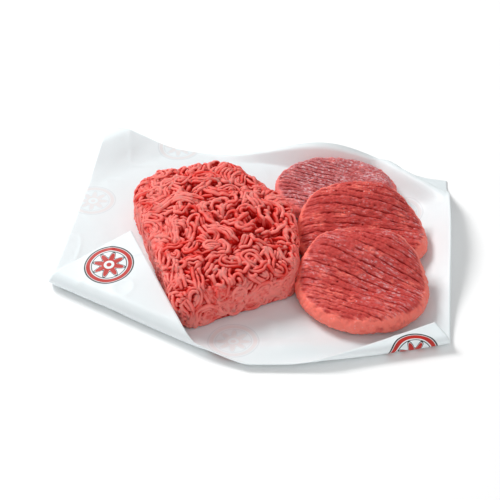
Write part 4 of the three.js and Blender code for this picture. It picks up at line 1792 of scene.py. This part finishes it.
    def build(self, material: bpy.types.Material) -> None:
        """Builds the patty as rows round it, from the middle of the top over the rim to the bottom.

        A row is radius * (cos a * long half + sin a * short half), pushed out at the bulge.

        Args:
            material: the patty's finish.
        """
        radius, level = self.profile()
        angle = np.linspace(0, 2 * math.pi, self.columns, endpoint=False)
        oval = (np.cos(angle)[:, None] * self.long * heading(self.turn)
                + np.sin(angle)[:, None] * self.short * heading(self.turn + 90))
        plan = np.asarray(self.at) + radius[:, None, None] * oval * self.reach(angle)[:, None]
        height = self.seat(plan) + self.thick / 2 * (1 + level[:, None])
        points = np.concatenate([plan, height[..., None]], axis=-1)
        normal = -grid_normals(points, loop=True)
        rows_level = np.broadcast_to(level[:, None], height.shape)
        lift, marks = self.relief(points, plan, rows_level)
        lift = np.where(rows_level < -0.7, 0.0, lift)
        points = points + normal * lift[..., None]
        top, bottom = points[0].mean(axis=0), points[-1].mean(axis=0)
        count = self.rows * self.columns
        everything = np.concatenate([points.reshape(-1, 3), top[None], bottom[None]])
        quads = grid_quads(self.rows, self.columns, loop=True)[:, ::-1]
        ring = np.arange(self.columns)
        faces = [quads, fan(count, ring), fan(count + 1, ring + count - self.columns, turned=True)]
        kept = {mark: np.concatenate([values.ravel(), [values[0].mean(), values[-1].mean()]])
                for mark, values in marks.items()}
        piece = make_piece(self.name + "_meat", everything, faces, kept)
        dress(piece, material, [self.name])


# The studio


@dataclass(frozen=True)
class Lamp:
    """A square soft light that points at the pack, with its place and side in metres."""

    name: str
    place: tuple[float, float, float]
    size: float
    power: float


@dataclass
class Studio:
    """A pale floor, soft lights and the camera of the photograph.

    Args:
        distance: from the camera to the pack's origin.
        elevation: the camera's angle above the table, in degrees.
        lens, sensor: the camera's focal length and the width of its picture, in millimetres.
        floor_size: side of the floor.
        floor_gap: how far the floor lies below the paper.
        lamps: a key light from behind on the left, and a wide fill from the front.
        room: strength of the light all round.
    """

    distance: float = 873.08 * MM
    elevation: float = 40.0
    lens: float = 81.72
    sensor: float = 36.0
    floor_size: float = 14.0
    floor_gap: float = 0.1 * MM
    lamps: tuple[Lamp, ...] = (Lamp("key", (-1.12, 0.86, 1.42), 0.75, 32.0),
                               Lamp("fill", (0.45, -1.45, 1.15), 1.8, 8.5))
    room: float = 0.44

    def build_floor(self) -> None:
        """A plain pale floor, just below the paper."""
        half = self.floor_size / 2
        corners = ((-half, -half), (half, -half), (half, half), (-half, half))
        points = np.array([(x, y, -self.floor_gap) for x, y in corners])
        floor = make_piece("floor", points, [np.array([[0, 1, 2, 3]])])
        material = bpy.data.materials.new("pale_floor")
        material.use_nodes = True
        graph = Graph(material.node_tree)
        shader = graph.add("BsdfPrincipled", {"Base Color": (1.0, 1.0, 1.0), "Roughness": 0.9})
        graph.add("OutputMaterial", {0: shader.outputs[0]})
        floor.data.materials.append(material)

    def build_lamp(self, lamp: Lamp) -> None:
        """Hangs a lamp, turned so that it shines towards the pack's origin."""
        light = bpy.data.lights.new(lamp.name, "AREA")
        light.energy = lamp.power
        light.size = lamp.size
        hung = bpy.data.objects.new(lamp.name, light)
        hung.location = lamp.place
        x, y, z = lamp.place
        hung.rotation_euler = (math.atan2(math.hypot(x, y), z), 0.0, math.atan2(x, -y))
        bpy.context.scene.collection.objects.link(hung)

    def build_room(self) -> None:
        """Sets the even white light all round, and plain screen colours."""
        scene = bpy.context.scene
        world = bpy.data.worlds.new("white_room")
        world.use_nodes = True
        graph = Graph(world.node_tree)
        shader = graph.add("Background", {"Color": (1.0, 1.0, 1.0), "Strength": self.room})
        graph.add("OutputWorld", {0: shader.outputs[0]})
        scene.world = world
        scene.view_settings.view_transform = "Standard"

    def build_camera(self) -> None:
        """Sets up the camera, which looks at the pack's origin from the front."""
        scene = bpy.context.scene
        tilt = math.radians(self.elevation)
        camera = bpy.data.cameras.new("camera")
        camera.lens, camera.sensor_width = self.lens, self.sensor
        camera.clip_end = 50.0
        viewer = bpy.data.objects.new("camera", camera)
        viewer.location = (0.0, -self.distance * math.cos(tilt), self.distance * math.sin(tilt))
        viewer.rotation_euler = (math.pi / 2 - tilt, 0.0, 0.0)
        scene.collection.objects.link(viewer)
        scene.camera = viewer

    def build(self) -> None:
        """Builds the floor, the lamps, the room and the camera."""
        self.build_floor()
        for lamp in self.lamps:
            self.build_lamp(lamp)
        self.build_room()
        self.build_camera()


MINCE_FINISH = MeatFinish("mince_meat", linear(222, 46, 38), linear(248, 136, 128),
                          linear(176, 4, 2), linear(200, 146, 140), 0.2, gloss=0.05,
                          depth=1.3 * MM, share=0.55)
PATTY_FINISH = MeatFinish("patty_meat", linear(202, 76, 72), linear(250, 128, 114),
                          linear(134, 8, 10), linear(234, 196, 200), 0.1, gloss=0.16)
PALE_PATTY_FINISH = MeatFinish("pale_patty_meat", linear(184, 78, 78), linear(234, 122, 116),
                               linear(108, 10, 16), linear(236, 206, 212), 0.1, gloss=0.2)


def main() -> None:
    """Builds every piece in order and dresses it."""
    logging.basicConfig(level=logging.INFO, format="%(name)s: %(message)s")
    Studio().build()
    grain = meat_grain_group()
    mince = MINCE_FINISH.material(grain)
    patty, pale_patty = PATTY_FINISH.material(grain), PALE_PATTY_FINISH.material(grain)
    far = Patty("patty_far", (69 * MM, 61.5 * MM), 49 * MM, 40.5 * MM, -24, seed=31, bloom=0.95,
                pitch=4.2 * MM, lined=12 * MM, depth=1.35)
    middle = Patty("patty_middle", (87 * MM, 4 * MM), 48 * MM, 39 * MM, -4, far, seed=32, bloom=0.2,
                   pitch=6.4 * MM, bulge=Bulge(215, 0.14, 38))
    near = Patty("patty_near", (81 * MM, -56 * MM), 47.5 * MM, 42.5 * MM, -24, middle, seed=33,
                 bloom=0.55)
    heap = MinceHeap()
    # Middles and reaches of the spots where the sheet has no wrinkles: under the meat, and two more
    calm = [(np.array(p.at), p.long + 4 * MM) for p in (far, middle, near)]
    calm += [(heap.skin.middle, 72 * MM), (np.array([-50 * MM, -80 * MM]), 26 * MM),
             (np.array([-78 * MM, 42 * MM]), 34 * MM)]
    PaperSheet().build(calm, PaperFinish().material())
    far.build(pale_patty)
    for piece in (middle, near):
        piece.build(patty)
    heap.build(mince)
    LOG.info("sizes written")


if __name__ == "__main__":
    main()
